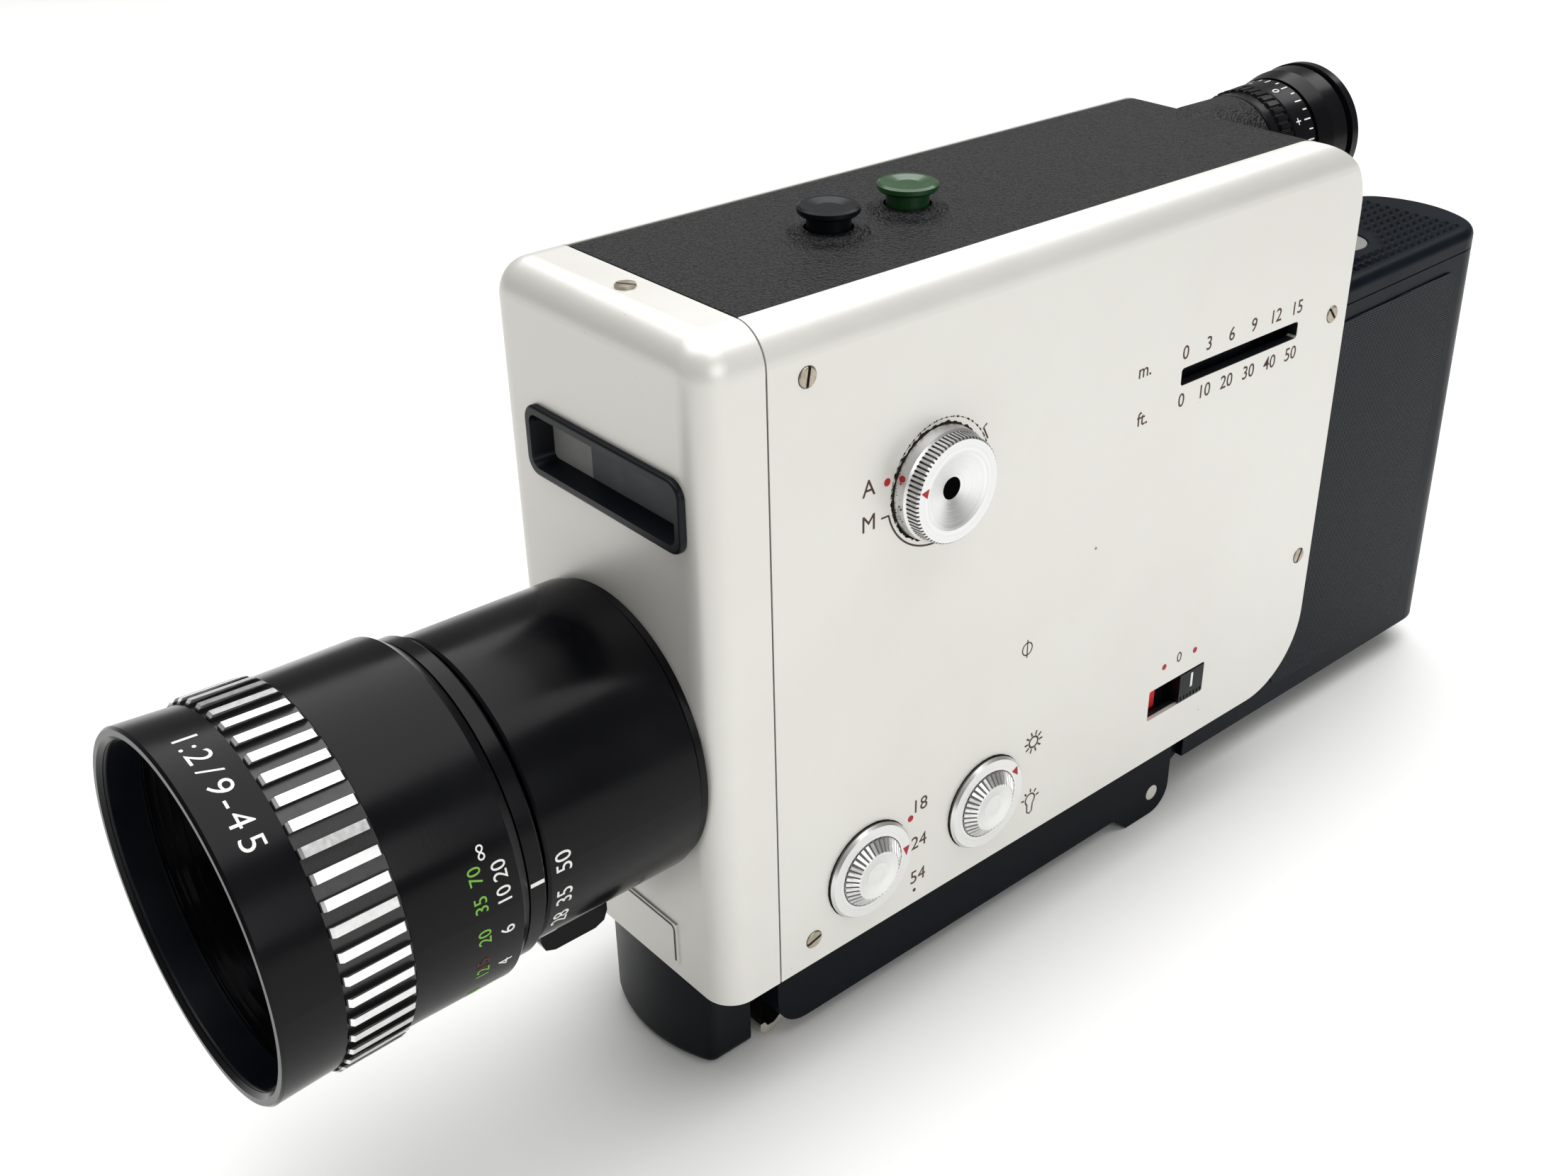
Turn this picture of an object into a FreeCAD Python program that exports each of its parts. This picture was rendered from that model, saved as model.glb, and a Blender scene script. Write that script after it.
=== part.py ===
import FreeCAD, Part
import math
import os

# Reflex cine camera with a zoom lens, modelled in millimetres, +Z up, lens towards -Y.
# It is drawn from the middle of the front face at floor height, then moved so that the
# origin is the bottom centre of the whole camera as it stands with its grip folded back.

V = FreeCAD.Vector
X_AXIS = V(1, 0, 0)
Y_AXIS = V(0, 1, 0)
Z_AXIS = V(0, 0, 1)

# Body shell
HALF_W = 24.6
BODY_L = 144.2
BODY_Z = 22.6
BODY_H = 108.0
WALL = 1.8
TOP_R = 5.7
FRONT_R = 5.0
REAR_TOP_R = 12.5
REAR_LOW_R = 15.0
COVER_L = 10.6
SEAM = 0.3
BAND = HALF_W - TOP_R
BODY_TOP = BODY_Z + BODY_H
IN_W = HALF_W - WALL
IN_TOP = BODY_TOP - WALL
IN_LOW = BODY_Z + WALL
IN_REAR = BODY_L - WALL

# Lens, on an axis parallel to Y
AXIS_Z = 64.2
BARREL_R = 20.2
RING_BORE = BARREL_R + 0.06
ZOOM_R = 23.3
FOCUS_R = 25.6
GRIP_R = 26.5
RIM_R = 26.3
FILTER_R = 24.5
LENS_FRONT = -67.0
FILTER_END = -61.0
GRIP_FRONT = -58.1
GRIP_REAR = -48.4
FOCUS_REAR = -31.0
INDEX_REAR = -28.1
ZOOM_FRONT = -27.2
ZOOM_REAR = -1.45
FLANGE_R = 22.6
FLANGE_T = 1.1
GRIP_RIBS = 48

# Film path
FILM_Y = 64.0
CHAMBER_LOW = 30.0
CHAMBER_TOP = 99.4
CHAMBER_X = 14.0
CHASSIS_REAR = 138.0
PLATE = 2.0
SPINDLE_Y = 101.5
SPINDLE_Z = 66.0

# Drive
SHUTTER_X = 7.0
SHUTTER_Z = 76.2
MODULE = 0.6
GEAR_TEETH = 40
PINION_TEETH = 10
MOTOR_X = -2.0
MOTOR_Z = 88.2
MOTOR_R = 8.5

# Window in the front face
WINDOW_X = 2.3
WINDOW_Z = 105.75
WINDOW_W = 36.5
WINDOW_H = 11.0
WINDOW_GLASS_Y = 2.3

# Controls on the left side, as (Y, Z) of each axis
KNOB = (42.1, 99.1)
KNOB_R = 8.85
KNOB_H = 4.3
KNOB_TEETH = 72
KNOB_GROOVE = 0.38
KNOB_BAND_R = 8.3
SPEED_DIAL = (29.2, 35.2)
FILTER_DIAL = (55.4, 35.3)
DIAL_R = 8.5
DIAL_T = 1.0
DIAL_HUB_R = 6.0
DIAL_HUB_H = 1.45
DIAL_TEETH = 36
SHAFT_R = 1.6
RUNNING = 0.06
COUNTER_Y = (97.7, 129.5)
COUNTER_Z = (97.9, 101.0)
SWITCH_Y = (97.9, 113.7)
SWITCH_Z = (31.8, 38.2)
SLIDER_L = 6.9
SCREWS = ((17.6, 122.3), (17.6, 27.4), (139.8, 99.6), (140.3, 50.8))
SCREW_R = 1.5

# Buttons on the top, as (X, Y)
TELE_BUTTON = (0.9, 42.3)
WIDE_BUTTON = (0.4, 58.5)
BUTTON_R = 4.65
BUTTON_H = 4.0
SPRING_R = 2.6
SPRING_PITCH = 1.6
SPRING_TURNS = 4
SPRING_SIDES = 16

# Eyepiece, on an axis parallel to Y
EYE_X = -4.3
EYE_Z = 122.0
EYE_TUBE_R = 8.8
EYE_TUBE_END = 156.4
EYECUP_R = 12.2
EYECUP_END = 167.5
BOSS_R = 9.7
BOSS_END = 144.3

# Base housing, trigger and folding grip
BASE_W = 17.3
BASE_FRONT = 16.0
BASE_LOW = 3.6
BASE_NOSE_R = 6.0
CHEEK_IN = 14.0
PIN_Y = 111.7
PIN_Z = 5.1
PIN_R = 1.6
LUG_R = 5.1
KNUCKLE_W = 13.5
KNUCKLE_R = 4.5
TRIGGER_W = 13.2
TRIGGER_FRONT = 1.9
TRIGGER_SIDE = 5.2
TRIGGER_REAR = 13.3
TRIGGER_PIN_Z = 26.6
TRIGGER_PIN_Y = 7.6
GRIP_W = 15.1
GRIP_Y = 146.0
GRIP_REAR_Y = 213.9
GRIP_BOW_R = 22.0
GRIP_CORNER_R = 9.0
GRIP_LEAN = 0.03
GRIP_LOW = 7.0
GRIP_TOP = 97.2
GRIP_SLOPE = 0.027
CAP_T = 4.2
GRIP_WALL = 2.4
ARM_GAP = 1.8
BUSH_Y = 178.0
BUSH_R = 6.0
TRIPOD_R = 3.1
TRIPOD_DEPTH = 8.0
CELL_R = 7.1
CELL_L = 50.0

# Film door hinge
HINGE_X = -HALF_W
HINGE_Y = 12.4
HINGE_R = 1.5
LATCH_Y = 134.0
LATCH_Z = 76.0
DOOR_GAP = 0.6

MID_X = (HALF_W + KNOB_H - GRIP_R) / 2
MID_Y = (LENS_FRONT + GRIP_REAR_Y) / 2


def box(x0, x1, y0, y1, z0, z1):
    return Part.makeBox(x1 - x0, y1 - y0, z1 - z0, V(x0, y0, z0))


def cyl_x(r, x0, x1, y, z):
    return Part.makeCylinder(r, x1 - x0, V(x0, y, z), X_AXIS)


def cyl_y(r, y0, y1, x, z):
    return Part.makeCylinder(r, y1 - y0, V(x, y0, z), Y_AXIS)


def cyl_z(r, z0, z1, x, y):
    return Part.makeCylinder(r, z1 - z0, V(x, y, z0), Z_AXIS)


def face_of(points):
    return Part.Face(Part.makePolygon(points + [points[0]]))


def turned_y(profile, x, z):
    """Solid turned about an axis along Y from (radius, y) points."""
    face = face_of([V(x + r, y, z) for r, y in profile])
    return face.revolve(V(x, 0, z), Y_AXIS, 360)


def turned_x(profile, y, z):
    """Solid turned about an axis along X from (x, radius) points."""
    face = face_of([V(x, y + r, z) for x, r in profile])
    return face.revolve(V(0, y, z), X_AXIS, 360)


def turned_z(profile, x, y):
    """Solid turned about an axis along Z from (radius, z) points."""
    face = face_of([V(x + r, y, z) for r, z in profile])
    return face.revolve(V(x, y, 0), Z_AXIS, 360)


def side_slab(points, x0, x1):
    """Outline in (y, z), extruded from x0 to x1."""
    return face_of([V(x0, y, z) for y, z in points]).extrude(V(x1 - x0, 0, 0))


def round_upright(solid, radius, wanted=lambda middle: True):
    """Round the edges that run along Z."""
    edges = [e for e in solid.Edges
             if len(e.Vertexes) == 2
             and abs(e.tangentAt(e.FirstParameter).z) > 0.999
             and wanted(e.CenterOfMass)]
    return solid.makeFillet(radius, edges)


def section_block(inset):
    """Body seen from the front: rounded top corners and a rounded front rim."""
    half = HALF_W - inset
    low = BODY_Z + inset
    top = BODY_TOP - inset
    block = box(-half, half, inset, BODY_L, low, top)
    long_top = [e for e in block.Edges
                if abs(e.CenterOfMass.z - top) < 1e-6 and abs(e.tangentAt(0).y) > 0.9]
    block = block.makeFillet(TOP_R - inset, long_top)
    rim = [e for e in block.Edges
           if e.BoundBox.YMax < inset + 1e-3 and e.CenterOfMass.z > low + 1.0]
    return block.makeFillet(FRONT_R - inset, rim)


def side_block(inset):
    """Body seen from the side: large rounded rear corners."""
    half = HALF_W + 5
    rear = BODY_L - inset
    low = BODY_Z + inset
    top = BODY_TOP - inset
    block = box(-half, half, -5, rear, low, top)
    upper = [e for e in block.Edges
             if abs(e.CenterOfMass.z - top) < 1e-6 and abs(e.CenterOfMass.y - rear) < 1e-6]
    block = block.makeFillet(REAR_TOP_R - inset, upper)
    lower = [e for e in block.Edges
             if abs(e.CenterOfMass.z - low) < 1e-6 and abs(e.CenterOfMass.y - rear) < 1e-6]
    return block.makeFillet(REAR_LOW_R - inset, lower)


def body_shell():
    outer = section_block(0).common(side_block(0))
    inner = section_block(WALL).common(side_block(WALL))
    return outer.cut(inner)


def slot_hole(x0, x1, ys, zs, radius):
    """Rounded rectangular cutter through a side wall."""
    cutter = box(x0, x1, ys[0], ys[1], zs[0], zs[1])
    edges = [e for e in cutter.Edges if abs(e.tangentAt(0).x) > 0.9]
    return cutter.makeFillet(radius, edges)


def front_slab(width, height, y0, y1, radius):
    """Rounded rectangle about the window centre."""
    slab = box(WINDOW_X - width / 2, WINDOW_X + width / 2, y0, y1,
               WINDOW_Z - height / 2, WINDOW_Z + height / 2)
    edges = [e for e in slab.Edges if abs(e.tangentAt(0).y) > 0.9]
    return slab.makeFillet(radius, edges)


def funnel(wide, narrow):
    """Loft between two rounded rectangles given as (width, height, y, corner radius)."""
    wires = []
    for width, height, y, radius in (wide, narrow):
        slab = front_slab(width, height, y, y + 1, radius)
        face = min(slab.Faces, key=lambda f: f.CenterOfMass.y)
        wires.append(face.OuterWire)
    return Part.makeLoft(wires, True, True)


def front_cover(shell):
    cover = shell.common(box(-30, 30, -1, COVER_L, 0, 140))
    cover = cover.cut(cyl_y(19.4, -1, 12, 0, AXIS_Z))
    cover = cover.cut(front_slab(WINDOW_W - 2.0, WINDOW_H - 2.0, -1, 12, 1.6))
    cheeks = box(-7.4, 7.4, 4.6, 10.4, IN_LOW - 0.5, TRIGGER_PIN_Z + 2.4)
    cover = cover.fuse(cheeks.cut(cyl_x(1.0, -10, 10, TRIGGER_PIN_Y, TRIGGER_PIN_Z)))
    cover = cover.cut(box(-4.9, 4.9, 4.0, COVER_L + 1, BODY_Z - 1, TRIGGER_PIN_Z + 4))
    return cover.cut(cyl_z(1.15, IN_TOP - 1, BODY_TOP + 1, 0, 7.0))


def left_side_panel(shell):
    panel = shell.common(box(BAND + 0.05, 30, COVER_L + SEAM, 150, 0, 140))
    x0 = IN_W - 1
    x1 = HALF_W + 1
    panel = panel.cut(slot_hole(x0, x1, COUNTER_Y, COUNTER_Z, 0.6))
    panel = panel.cut(slot_hole(x0, x1, SWITCH_Y, SWITCH_Z, 0.4))
    for y, z in (KNOB, SPEED_DIAL, FILTER_DIAL):
        panel = panel.cut(cyl_x(SHAFT_R + RUNNING, x0, x1, y, z))
    for y, z in SCREWS:
        panel = panel.cut(cyl_x(1.15, x0, x1, y, z))
        panel = panel.cut(cyl_x(SCREW_R + 0.1, HALF_W - 0.7, x1, y, z))
    return panel


def centre_frame(shell):
    """Black band that forms the top, the rear and the bottom between the silver sides."""
    band = shell.common(box(-BAND, BAND, COVER_L + SEAM, 150, 0, 140))
    boss = cyl_y(BOSS_R, 134, BOSS_END, EYE_X, EYE_Z)
    nose = Part.makeCone(6.5, BOSS_R, 14, V(EYE_X, 120, EYE_Z), Y_AXIS)
    boss = boss.fuse(nose).cut(section_block(WALL).common(side_block(WALL)))
    band = band.fuse(boss)
    for x, y in (TELE_BUTTON, WIDE_BUTTON):
        band = band.fuse(Part.makeCone(6.2, 5.2, 0.7, V(x, y, BODY_TOP), Z_AXIS))
        band = band.cut(cyl_z(3.7, IN_TOP - 1, BODY_TOP + 2, x, y))
    shelf = BODY_TOP - 13.4
    band = band.fuse(box(-8, 8, 36, 65, shelf, shelf + 1.2))
    band = band.fuse(box(-8, -6.6, 36, 65, shelf, IN_TOP + 0.5))
    band = band.cut(cyl_y(EYE_TUBE_R + 0.05, 138.6, 150, EYE_X, EYE_Z))
    return band.removeSplitter()


def film_door(shell):
    door = shell.common(box(-30, -BAND - DOOR_GAP, COVER_L + SEAM, 150, 0, 140))
    for low in (40.0, 62.0, 84.0, 106.0):
        door = door.fuse(cyl_z(HINGE_R, low, low + 10.0, HINGE_X, HINGE_Y))
    door = door.cut(cyl_z(0.65, BODY_Z, BODY_TOP, HINGE_X, HINGE_Y))
    door = door.cut(box(-27, -19, COVER_L - 1, HINGE_Y + 2.2, 50.2, 61.8))
    door = door.cut(box(-27, -19, COVER_L - 1, HINGE_Y + 2.2, 72.2, 83.8))
    door = door.cut(box(-27, -19, COVER_L - 1, HINGE_Y + 2.2, 94.2, 105.8))
    return door.cut(cyl_x(2.6, -26, -20, LATCH_Y, LATCH_Z))


def hinge_leaf():
    """Fixed leaf with the three knuckles between those of the door."""
    leaf = box(-IN_W + 1.0, -IN_W + 2.2, 5.4, 19.0, 46.0, 110.0)
    for low in (50.5, 72.5, 94.5):
        knuckle = cyl_z(HINGE_R, low, low + 11.0, HINGE_X, HINGE_Y)
        arm = box(HINGE_X, -IN_W + 2.2, HINGE_Y - 0.6, HINGE_Y + 0.6, low, low + 11.0)
        leaf = leaf.fuse(knuckle).fuse(arm)
    return leaf.cut(cyl_z(0.65, 40, 116, HINGE_X, HINGE_Y))


def door_latch():
    """Coin-slotted turn button with its bolt behind the door."""
    head = Part.makeCylinder(5.0, 1.2, V(-HALF_W - 0.05, LATCH_Y, LATCH_Z), V(-1, 0, 0))
    slot = box(-27, -HALF_W - 0.55, LATCH_Y - 4, LATCH_Y + 4, LATCH_Z - 0.6, LATCH_Z + 0.6)
    stem = cyl_x(2.3, -HALF_W - 0.1, -21.2, LATCH_Y, LATCH_Z)
    bolt = box(-22.4, -21.2, LATCH_Y - 2, LATCH_Y + 6.5, LATCH_Z - 2, LATCH_Z + 2)
    return head.cut(slot).fuse(stem).fuse(bolt)


def chassis():
    """Casting with the film chamber, the floor and the gear bracket."""
    body = box(-22.3, CHAMBER_X + PLATE, FILM_Y - 3.2, CHASSIS_REAR,
               CHAMBER_LOW - PLATE, CHAMBER_TOP + PLATE)
    body = body.cut(box(-30, CHAMBER_X, FILM_Y - 0.4, CHASSIS_REAR + 1,
                        CHAMBER_LOW, CHAMBER_TOP))
    body = body.fuse(box(-18, 18, 15.5, FILM_Y, IN_LOW + 0.1, CHAMBER_LOW - 2.6))
    body = body.fuse(box(-18, 18, FILM_Y - 3.2, FILM_Y, IN_LOW + 0.1, CHAMBER_LOW))
    body = body.fuse(box(-18, 20, 20.4, 22.4, IN_LOW + 0.1, 98.0))
    body = body.cut(cyl_y(9.0, 19, 24, 0, AXIS_Z))
    body = body.cut(cyl_y(1.55, 19, FILM_Y, SHUTTER_X, SHUTTER_Z))
    body = body.cut(cyl_y(1.05, 19, 24, MOTOR_X, MOTOR_Z))
    body = body.cut(box(-4.6, 4.6, 58, FILM_Y + 1, AXIS_Z - 3.6, AXIS_Z + 3.6))
    body = body.cut(cyl_x(2.1, 13, 17, SPINDLE_Y, SPINDLE_Z))
    return body.removeSplitter()


def film_gate():
    plate = box(-9.5, 9.5, FILM_Y - 0.35, FILM_Y + 0.25, AXIS_Z - 16, AXIS_Z + 16)
    return plate.cut(box(-2.9, 2.9, FILM_Y - 2, FILM_Y + 2, AXIS_Z - 2.1, AXIS_Z + 2.1))


def take_up_spindle():
    """Three-dog spindle that turns the cartridge core, with its wheel behind the wall."""
    spindle = cyl_x(2.0, 12.4, 18.2, SPINDLE_Y, SPINDLE_Z)
    for k in range(3):
        dog = box(12.2, 13.6, SPINDLE_Y, SPINDLE_Y + 3.4, SPINDLE_Z - 0.6, SPINDLE_Z + 0.6)
        dog.rotate(V(0, SPINDLE_Y, SPINDLE_Z), X_AXIS, 120 * k)
        spindle = spindle.fuse(dog)
    return spindle.fuse(cyl_x(9.0, 16.6, 18.2, SPINDLE_Y, SPINDLE_Z))


def gear(teeth, y0, y1, x, z, phase):
    """Spur gear with straight-sided teeth, thin enough to run freely in mesh."""
    pitch_r = MODULE * teeth / 2
    tip_r = pitch_r + 0.85 * MODULE
    root_r = pitch_r - 1.15 * MODULE
    step = 2 * math.pi / teeth
    points = []
    for k in range(teeth):
        middle = phase + k * step
        for r, part in ((root_r, -0.27), (tip_r, -0.10), (tip_r, 0.10), (root_r, 0.27)):
            angle = middle + part * step
            points.append(V(x + r * math.cos(angle), y0, z + r * math.sin(angle)))
    return face_of(points).extrude(V(0, y1 - y0, 0))


def shutter_gear():
    """Large gear, its shaft and the worm end that turns the take-up."""
    aim = math.atan2(MOTOR_Z - SHUTTER_Z, MOTOR_X - SHUTTER_X)
    wheel = gear(GEAR_TEETH, 25.0, 28.0, SHUTTER_X, SHUTTER_Z, aim)
    return wheel.fuse(cyl_y(1.5, 20.6, FILM_Y - 1.4, SHUTTER_X, SHUTTER_Z))


def shutter_disc():
    """Rotary shutter with one open sector."""
    disc = cyl_y(15.6, 55.4, 56.2, SHUTTER_X, SHUTTER_Z)
    sector = face_of([V(SHUTTER_X, 55, SHUTTER_Z),
                      V(SHUTTER_X - 40, 55, SHUTTER_Z + 8),
                      V(SHUTTER_X - 40, 55, SHUTTER_Z - 60),
                      V(SHUTTER_X + 24, 55, SHUTTER_Z - 60)]).extrude(V(0, 2, 0))
    hub = cyl_y(4.0, 53.6, 55.4, SHUTTER_X, SHUTTER_Z)
    disc = disc.cut(sector.cut(cyl_y(5.0, 54, 58, SHUTTER_X, SHUTTER_Z))).fuse(hub)
    return disc.cut(cyl_y(1.52, 50, 60, SHUTTER_X, SHUTTER_Z))


def drive_motor():
    body = cyl_y(MOTOR_R, 30.5, 52.0, MOTOR_X, MOTOR_Z)
    body = body.fuse(cyl_y(3.0, 29.4, 30.5, MOTOR_X, MOTOR_Z))
    body = body.fuse(box(MOTOR_X - 3, MOTOR_X + 3, 22.5, 51, MOTOR_Z + 6, MOTOR_Z + 9.4))
    return body.cut(cyl_y(1.05, 22, 54, MOTOR_X, MOTOR_Z))


def motor_pinion():
    aim = math.atan2(SHUTTER_Z - MOTOR_Z, SHUTTER_X - MOTOR_X) + math.pi / PINION_TEETH
    pinion = gear(PINION_TEETH, 24.6, 28.4, MOTOR_X, MOTOR_Z, aim)
    return pinion.fuse(cyl_y(1.0, 20.6, 50.0, MOTOR_X, MOTOR_Z))


def window_frame():
    """Black surround that stands proud and slopes inwards to a sunk glass."""
    frame = front_slab(WINDOW_W, WINDOW_H, -1.0, -0.02, 2.6)
    frame = frame.makeFillet(0.45, [e for e in frame.Edges if e.BoundBox.YMax < -0.99])
    frame = frame.fuse(front_slab(WINDOW_W - 2.2, WINDOW_H - 2.2, -0.5, 4.6, 1.5))
    frame = frame.cut(funnel((WINDOW_W - 2.6, WINDOW_H - 2.6, -1.1, 1.6),
                             (WINDOW_W - 4.6, WINDOW_H - 4.0, WINDOW_GLASS_Y, 1.1)))
    frame = frame.cut(front_slab(WINDOW_W - 4.6, WINDOW_H - 4.0, WINDOW_GLASS_Y - 0.1,
                                 WINDOW_GLASS_Y + 1.1, 1.1))
    return frame.cut(front_slab(WINDOW_W - 7.0, WINDOW_H - 6.2, WINDOW_GLASS_Y, 7, 0.4))


def window_glass():
    return front_slab(WINDOW_W - 4.7, WINDOW_H - 4.1, WINDOW_GLASS_Y, WINDOW_GLASS_Y + 1.05, 1.05)


def meter_cell():
    """Light cell behind the far end of the window."""
    x0 = WINDOW_X - WINDOW_W / 2 + 3.8
    return box(x0, x0 + 8.4, 3.5, 4.4, WINDOW_Z - 2.2, WINDOW_Z + 2.2)


def badge_plate():
    return box(-13.5, 13.0, -0.3, -0.01, BODY_Z + 2.5, BODY_Z + 10.4)


def screw_heads():
    """Four slotted side screws and the slotted screw in the front cover's top."""
    heads = []
    for number, (y, z) in enumerate(SCREWS):
        head = cyl_x(SCREW_R, HALF_W - 0.65, HALF_W + 0.25, y, z)
        head = head.makeFillet(0.25, [head.Edges[0]])
        slot = box(HALF_W - 0.15, HALF_W + 1, y - 3, y + 3, z - 0.24, z + 0.24)
        slot.rotate(V(0, y, z), X_AXIS, 80 - 65 * number)
        heads.append(head.fuse(cyl_x(1.0, HALF_W - 4.5, HALF_W - 0.65, y, z)).cut(slot))
    top = cyl_z(SCREW_R, BODY_TOP + 0.02, BODY_TOP + 0.4, 0, 7.0)
    top = top.fuse(cyl_z(1.0, BODY_TOP - 4, BODY_TOP + 0.02, 0, 7.0))
    slot = box(-3, 3, 6.75, 7.25, BODY_TOP + 0.15, BODY_TOP + 1)
    slot.rotate(V(0, 7.0, 0), Z_AXIS, 35)
    return Part.makeCompound(heads + [top.cut(slot)])


def exposure_knob():
    """Knurled knob with a smooth skirt and a dished face."""
    y, z = KNOB
    base = HALF_W + 0.2
    face = HALF_W + KNOB_H
    knob = turned_x([(base, 1e-3), (base, KNOB_R), (base + 1.7, KNOB_R - 0.15),
                     (base + 2.0, KNOB_BAND_R), (face - 0.25, KNOB_BAND_R - 0.1),
                     (face, KNOB_BAND_R - 0.4), (face, 6.0), (face - 1.4, 1.75),
                     (face - 2.2, 1.75), (face - 2.2, 1e-3)], y, z)
    floor = KNOB_BAND_R - KNOB_GROOVE
    for k in range(KNOB_TEETH):
        groove = box(base + 2.0, face + 1, y + floor, y + floor + 2, z - 0.16, z + 0.16)
        groove.rotate(V(0, y, z), X_AXIS, 360.0 * k / KNOB_TEETH)
        knob = knob.cut(groove)
    shaft = cyl_x(SHAFT_R, 9.0, HALF_W + KNOB_H - 2.2, y, z)
    return knob.fuse(shaft).fuse(cyl_x(5.0, 9.0, 10.6, y, z)).removeSplitter()


def dial_disc(y, z):
    """Low satin disc on its shaft."""
    disc = turned_x([(HALF_W + 0.25, 1e-3), (HALF_W + 0.25, DIAL_R - 0.25),
                     (HALF_W + 0.5, DIAL_R), (HALF_W + DIAL_T, DIAL_R - 0.4),
                     (HALF_W + DIAL_T, 1e-3)], y, z)
    return disc.fuse(cyl_x(SHAFT_R, HALF_W - 6.0, HALF_W + 0.3, y, z))


def dial_knob(y, z):
    """Cone-shaped centre of a dial with grooves up its flank and a dished top."""
    low = HALF_W + DIAL_T + 0.02
    top = low + DIAL_HUB_H
    knob = turned_x([(low, 1e-3), (low, DIAL_HUB_R), (low + 0.15, DIAL_HUB_R), (top, 4.3),
                     (top, 3.9), (top - 0.35, 2.0), (top - 0.35, 1e-3)], y, z)
    start = V(low, y + DIAL_HUB_R + 0.15, z)
    along = V(top - low, 4.3 - DIAL_HUB_R, 0)
    for k in range(DIAL_TEETH):
        groove = Part.makeCylinder(0.24, along.Length * 1.2, start, along)
        groove.rotate(V(0, y, z), X_AXIS, 360.0 * k / DIAL_TEETH)
        knob = knob.cut(groove)
    return knob


def counter_frame():
    """Channel behind the counter slot."""
    y0 = COUNTER_Y[0] - 2
    y1 = COUNTER_Y[1] + 2
    z0 = COUNTER_Z[0] - 1.6
    z1 = COUNTER_Z[1] + 1.6
    channel = box(IN_W - 3.4, IN_W - 0.1, y0, y1, z0, z1)
    return channel.cut(box(IN_W - 2.4, IN_W, y0 - 1, y1 + 1, z0 + 0.8, z1 - 0.8))


def counter_pointer():
    """Strip that covers the used part of the scale."""
    z0 = COUNTER_Z[0] - 0.5
    z1 = COUNTER_Z[1] + 0.5
    return box(IN_W - 1.6, IN_W - 0.9, COUNTER_Y[0] - 9, 120.0, z0, z1)


def switch_base():
    """Sunk tray behind the switch slot."""
    y0, y1 = SWITCH_Y[0] - 1.5, SWITCH_Y[1] + 1.5
    z0, z1 = SWITCH_Z[0] - 1.5, SWITCH_Z[1] + 1.5
    tray = box(IN_W - 2.6, IN_W - 0.1, y0, y1, z0, z1)
    return tray.cut(box(IN_W - 1.6, IN_W, y0 + 0.8, y1 - 0.8, z0 + 0.8, z1 - 0.8))


def switch_slider():
    """Grip of the slide switch, with serrations on its lower edge."""
    y1 = SWITCH_Y[1] - 0.1
    y0 = y1 - SLIDER_L
    z0, z1 = SWITCH_Z[0] + 0.3, SWITCH_Z[1] - 0.3
    slider = box(IN_W - 1.3, HALF_W + 0.1, y0, y1, z0, z1)
    for k in range(7):
        y = y0 + 0.5 + 0.95 * k
        slider = slider.cut(box(HALF_W - 0.5, HALF_W + 1, y, y + 0.35, z0 - 1, z0 + 1.0))
    return slider


def push_button(x, y):
    """Dished cap on a waisted stem."""
    top = BODY_TOP + BUTTON_H
    return turned_z([(1e-3, BODY_TOP - 5.0), (4.2, BODY_TOP - 5.0), (4.2, BODY_TOP - 4.0),
                     (3.3, BODY_TOP - 4.0), (3.3, top - 1.3), (BUTTON_R - 0.35, top - 1.3),
                     (BUTTON_R, top - 0.95), (BUTTON_R, top - 0.3), (BUTTON_R - 0.4, top),
                     (BUTTON_R - 1.0, top), (2.0, top - 0.4), (1e-3, top - 0.5)], x, y)


def button_spring(x, y):
    """Compression spring under a button: a helix of short straight lengths of round wire."""
    low = BODY_TOP - 11.8
    path = []
    for k in range(SPRING_TURNS * SPRING_SIDES + 1):
        a = 2 * math.pi * k / SPRING_SIDES
        path.append(V(x + SPRING_R * math.cos(a), y + SPRING_R * math.sin(a),
                      low + SPRING_PITCH * k / SPRING_SIDES))
    wire = Part.Wire([Part.makeCircle(0.3, path[0], path[1] - path[0])])
    return Part.makePolygon(path).makePipeShell([wire], True, True, 1)


def lens_flange():
    return turned_y([(19.0, -FLANGE_T), (FLANGE_R - 0.1, -FLANGE_T),
                     (FLANGE_R, -0.02), (19.0, -0.02)], 0, AXIS_Z)


def lens_barrel():
    """Fixed tube that carries every ring and cell, with the iris plate inside."""
    tube = turned_y([(18.0, -49.0), (BARREL_R, -49.0), (BARREL_R, -FLANGE_T - 0.05),
                     (18.95, -FLANGE_T - 0.05), (18.95, 14.0), (8.0, 14.0), (8.0, 12.0),
                     (16.8, 12.0), (16.8, -4.0), (18.0, -4.0)], 0, AXIS_Z)
    return tube.fuse(cyl_y(17.0, 1.0, 2.2, 0, AXIS_Z).cut(cyl_y(5.0, 0, 3, 0, AXIS_Z)))


def zoom_ring():
    return turned_y([(RING_BORE, ZOOM_FRONT), (ZOOM_R - 0.3, ZOOM_FRONT),
                     (ZOOM_R, ZOOM_FRONT + 0.4), (ZOOM_R - 0.15, ZOOM_REAR - 0.25),
                     (ZOOM_R - 0.4, ZOOM_REAR), (RING_BORE, ZOOM_REAR)], 0, AXIS_Z)


def zoom_lever():
    """Tab that hangs below the zoom ring."""
    low = AXIS_Z - 34.8
    tab = side_slab([(-17.4, AXIS_Z - 22.0), (-17.4, low + 2.4), (-16.7, low + 0.7),
                     (-15.0, low), (-7.6, low), (-5.9, low + 0.7), (-5.2, low + 2.4),
                     (-5.2, AXIS_Z - 22.0)], -1.6, 1.6)
    return tab.cut(cyl_y(ZOOM_R + 0.07, -30, 0, 0, AXIS_Z))


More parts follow.
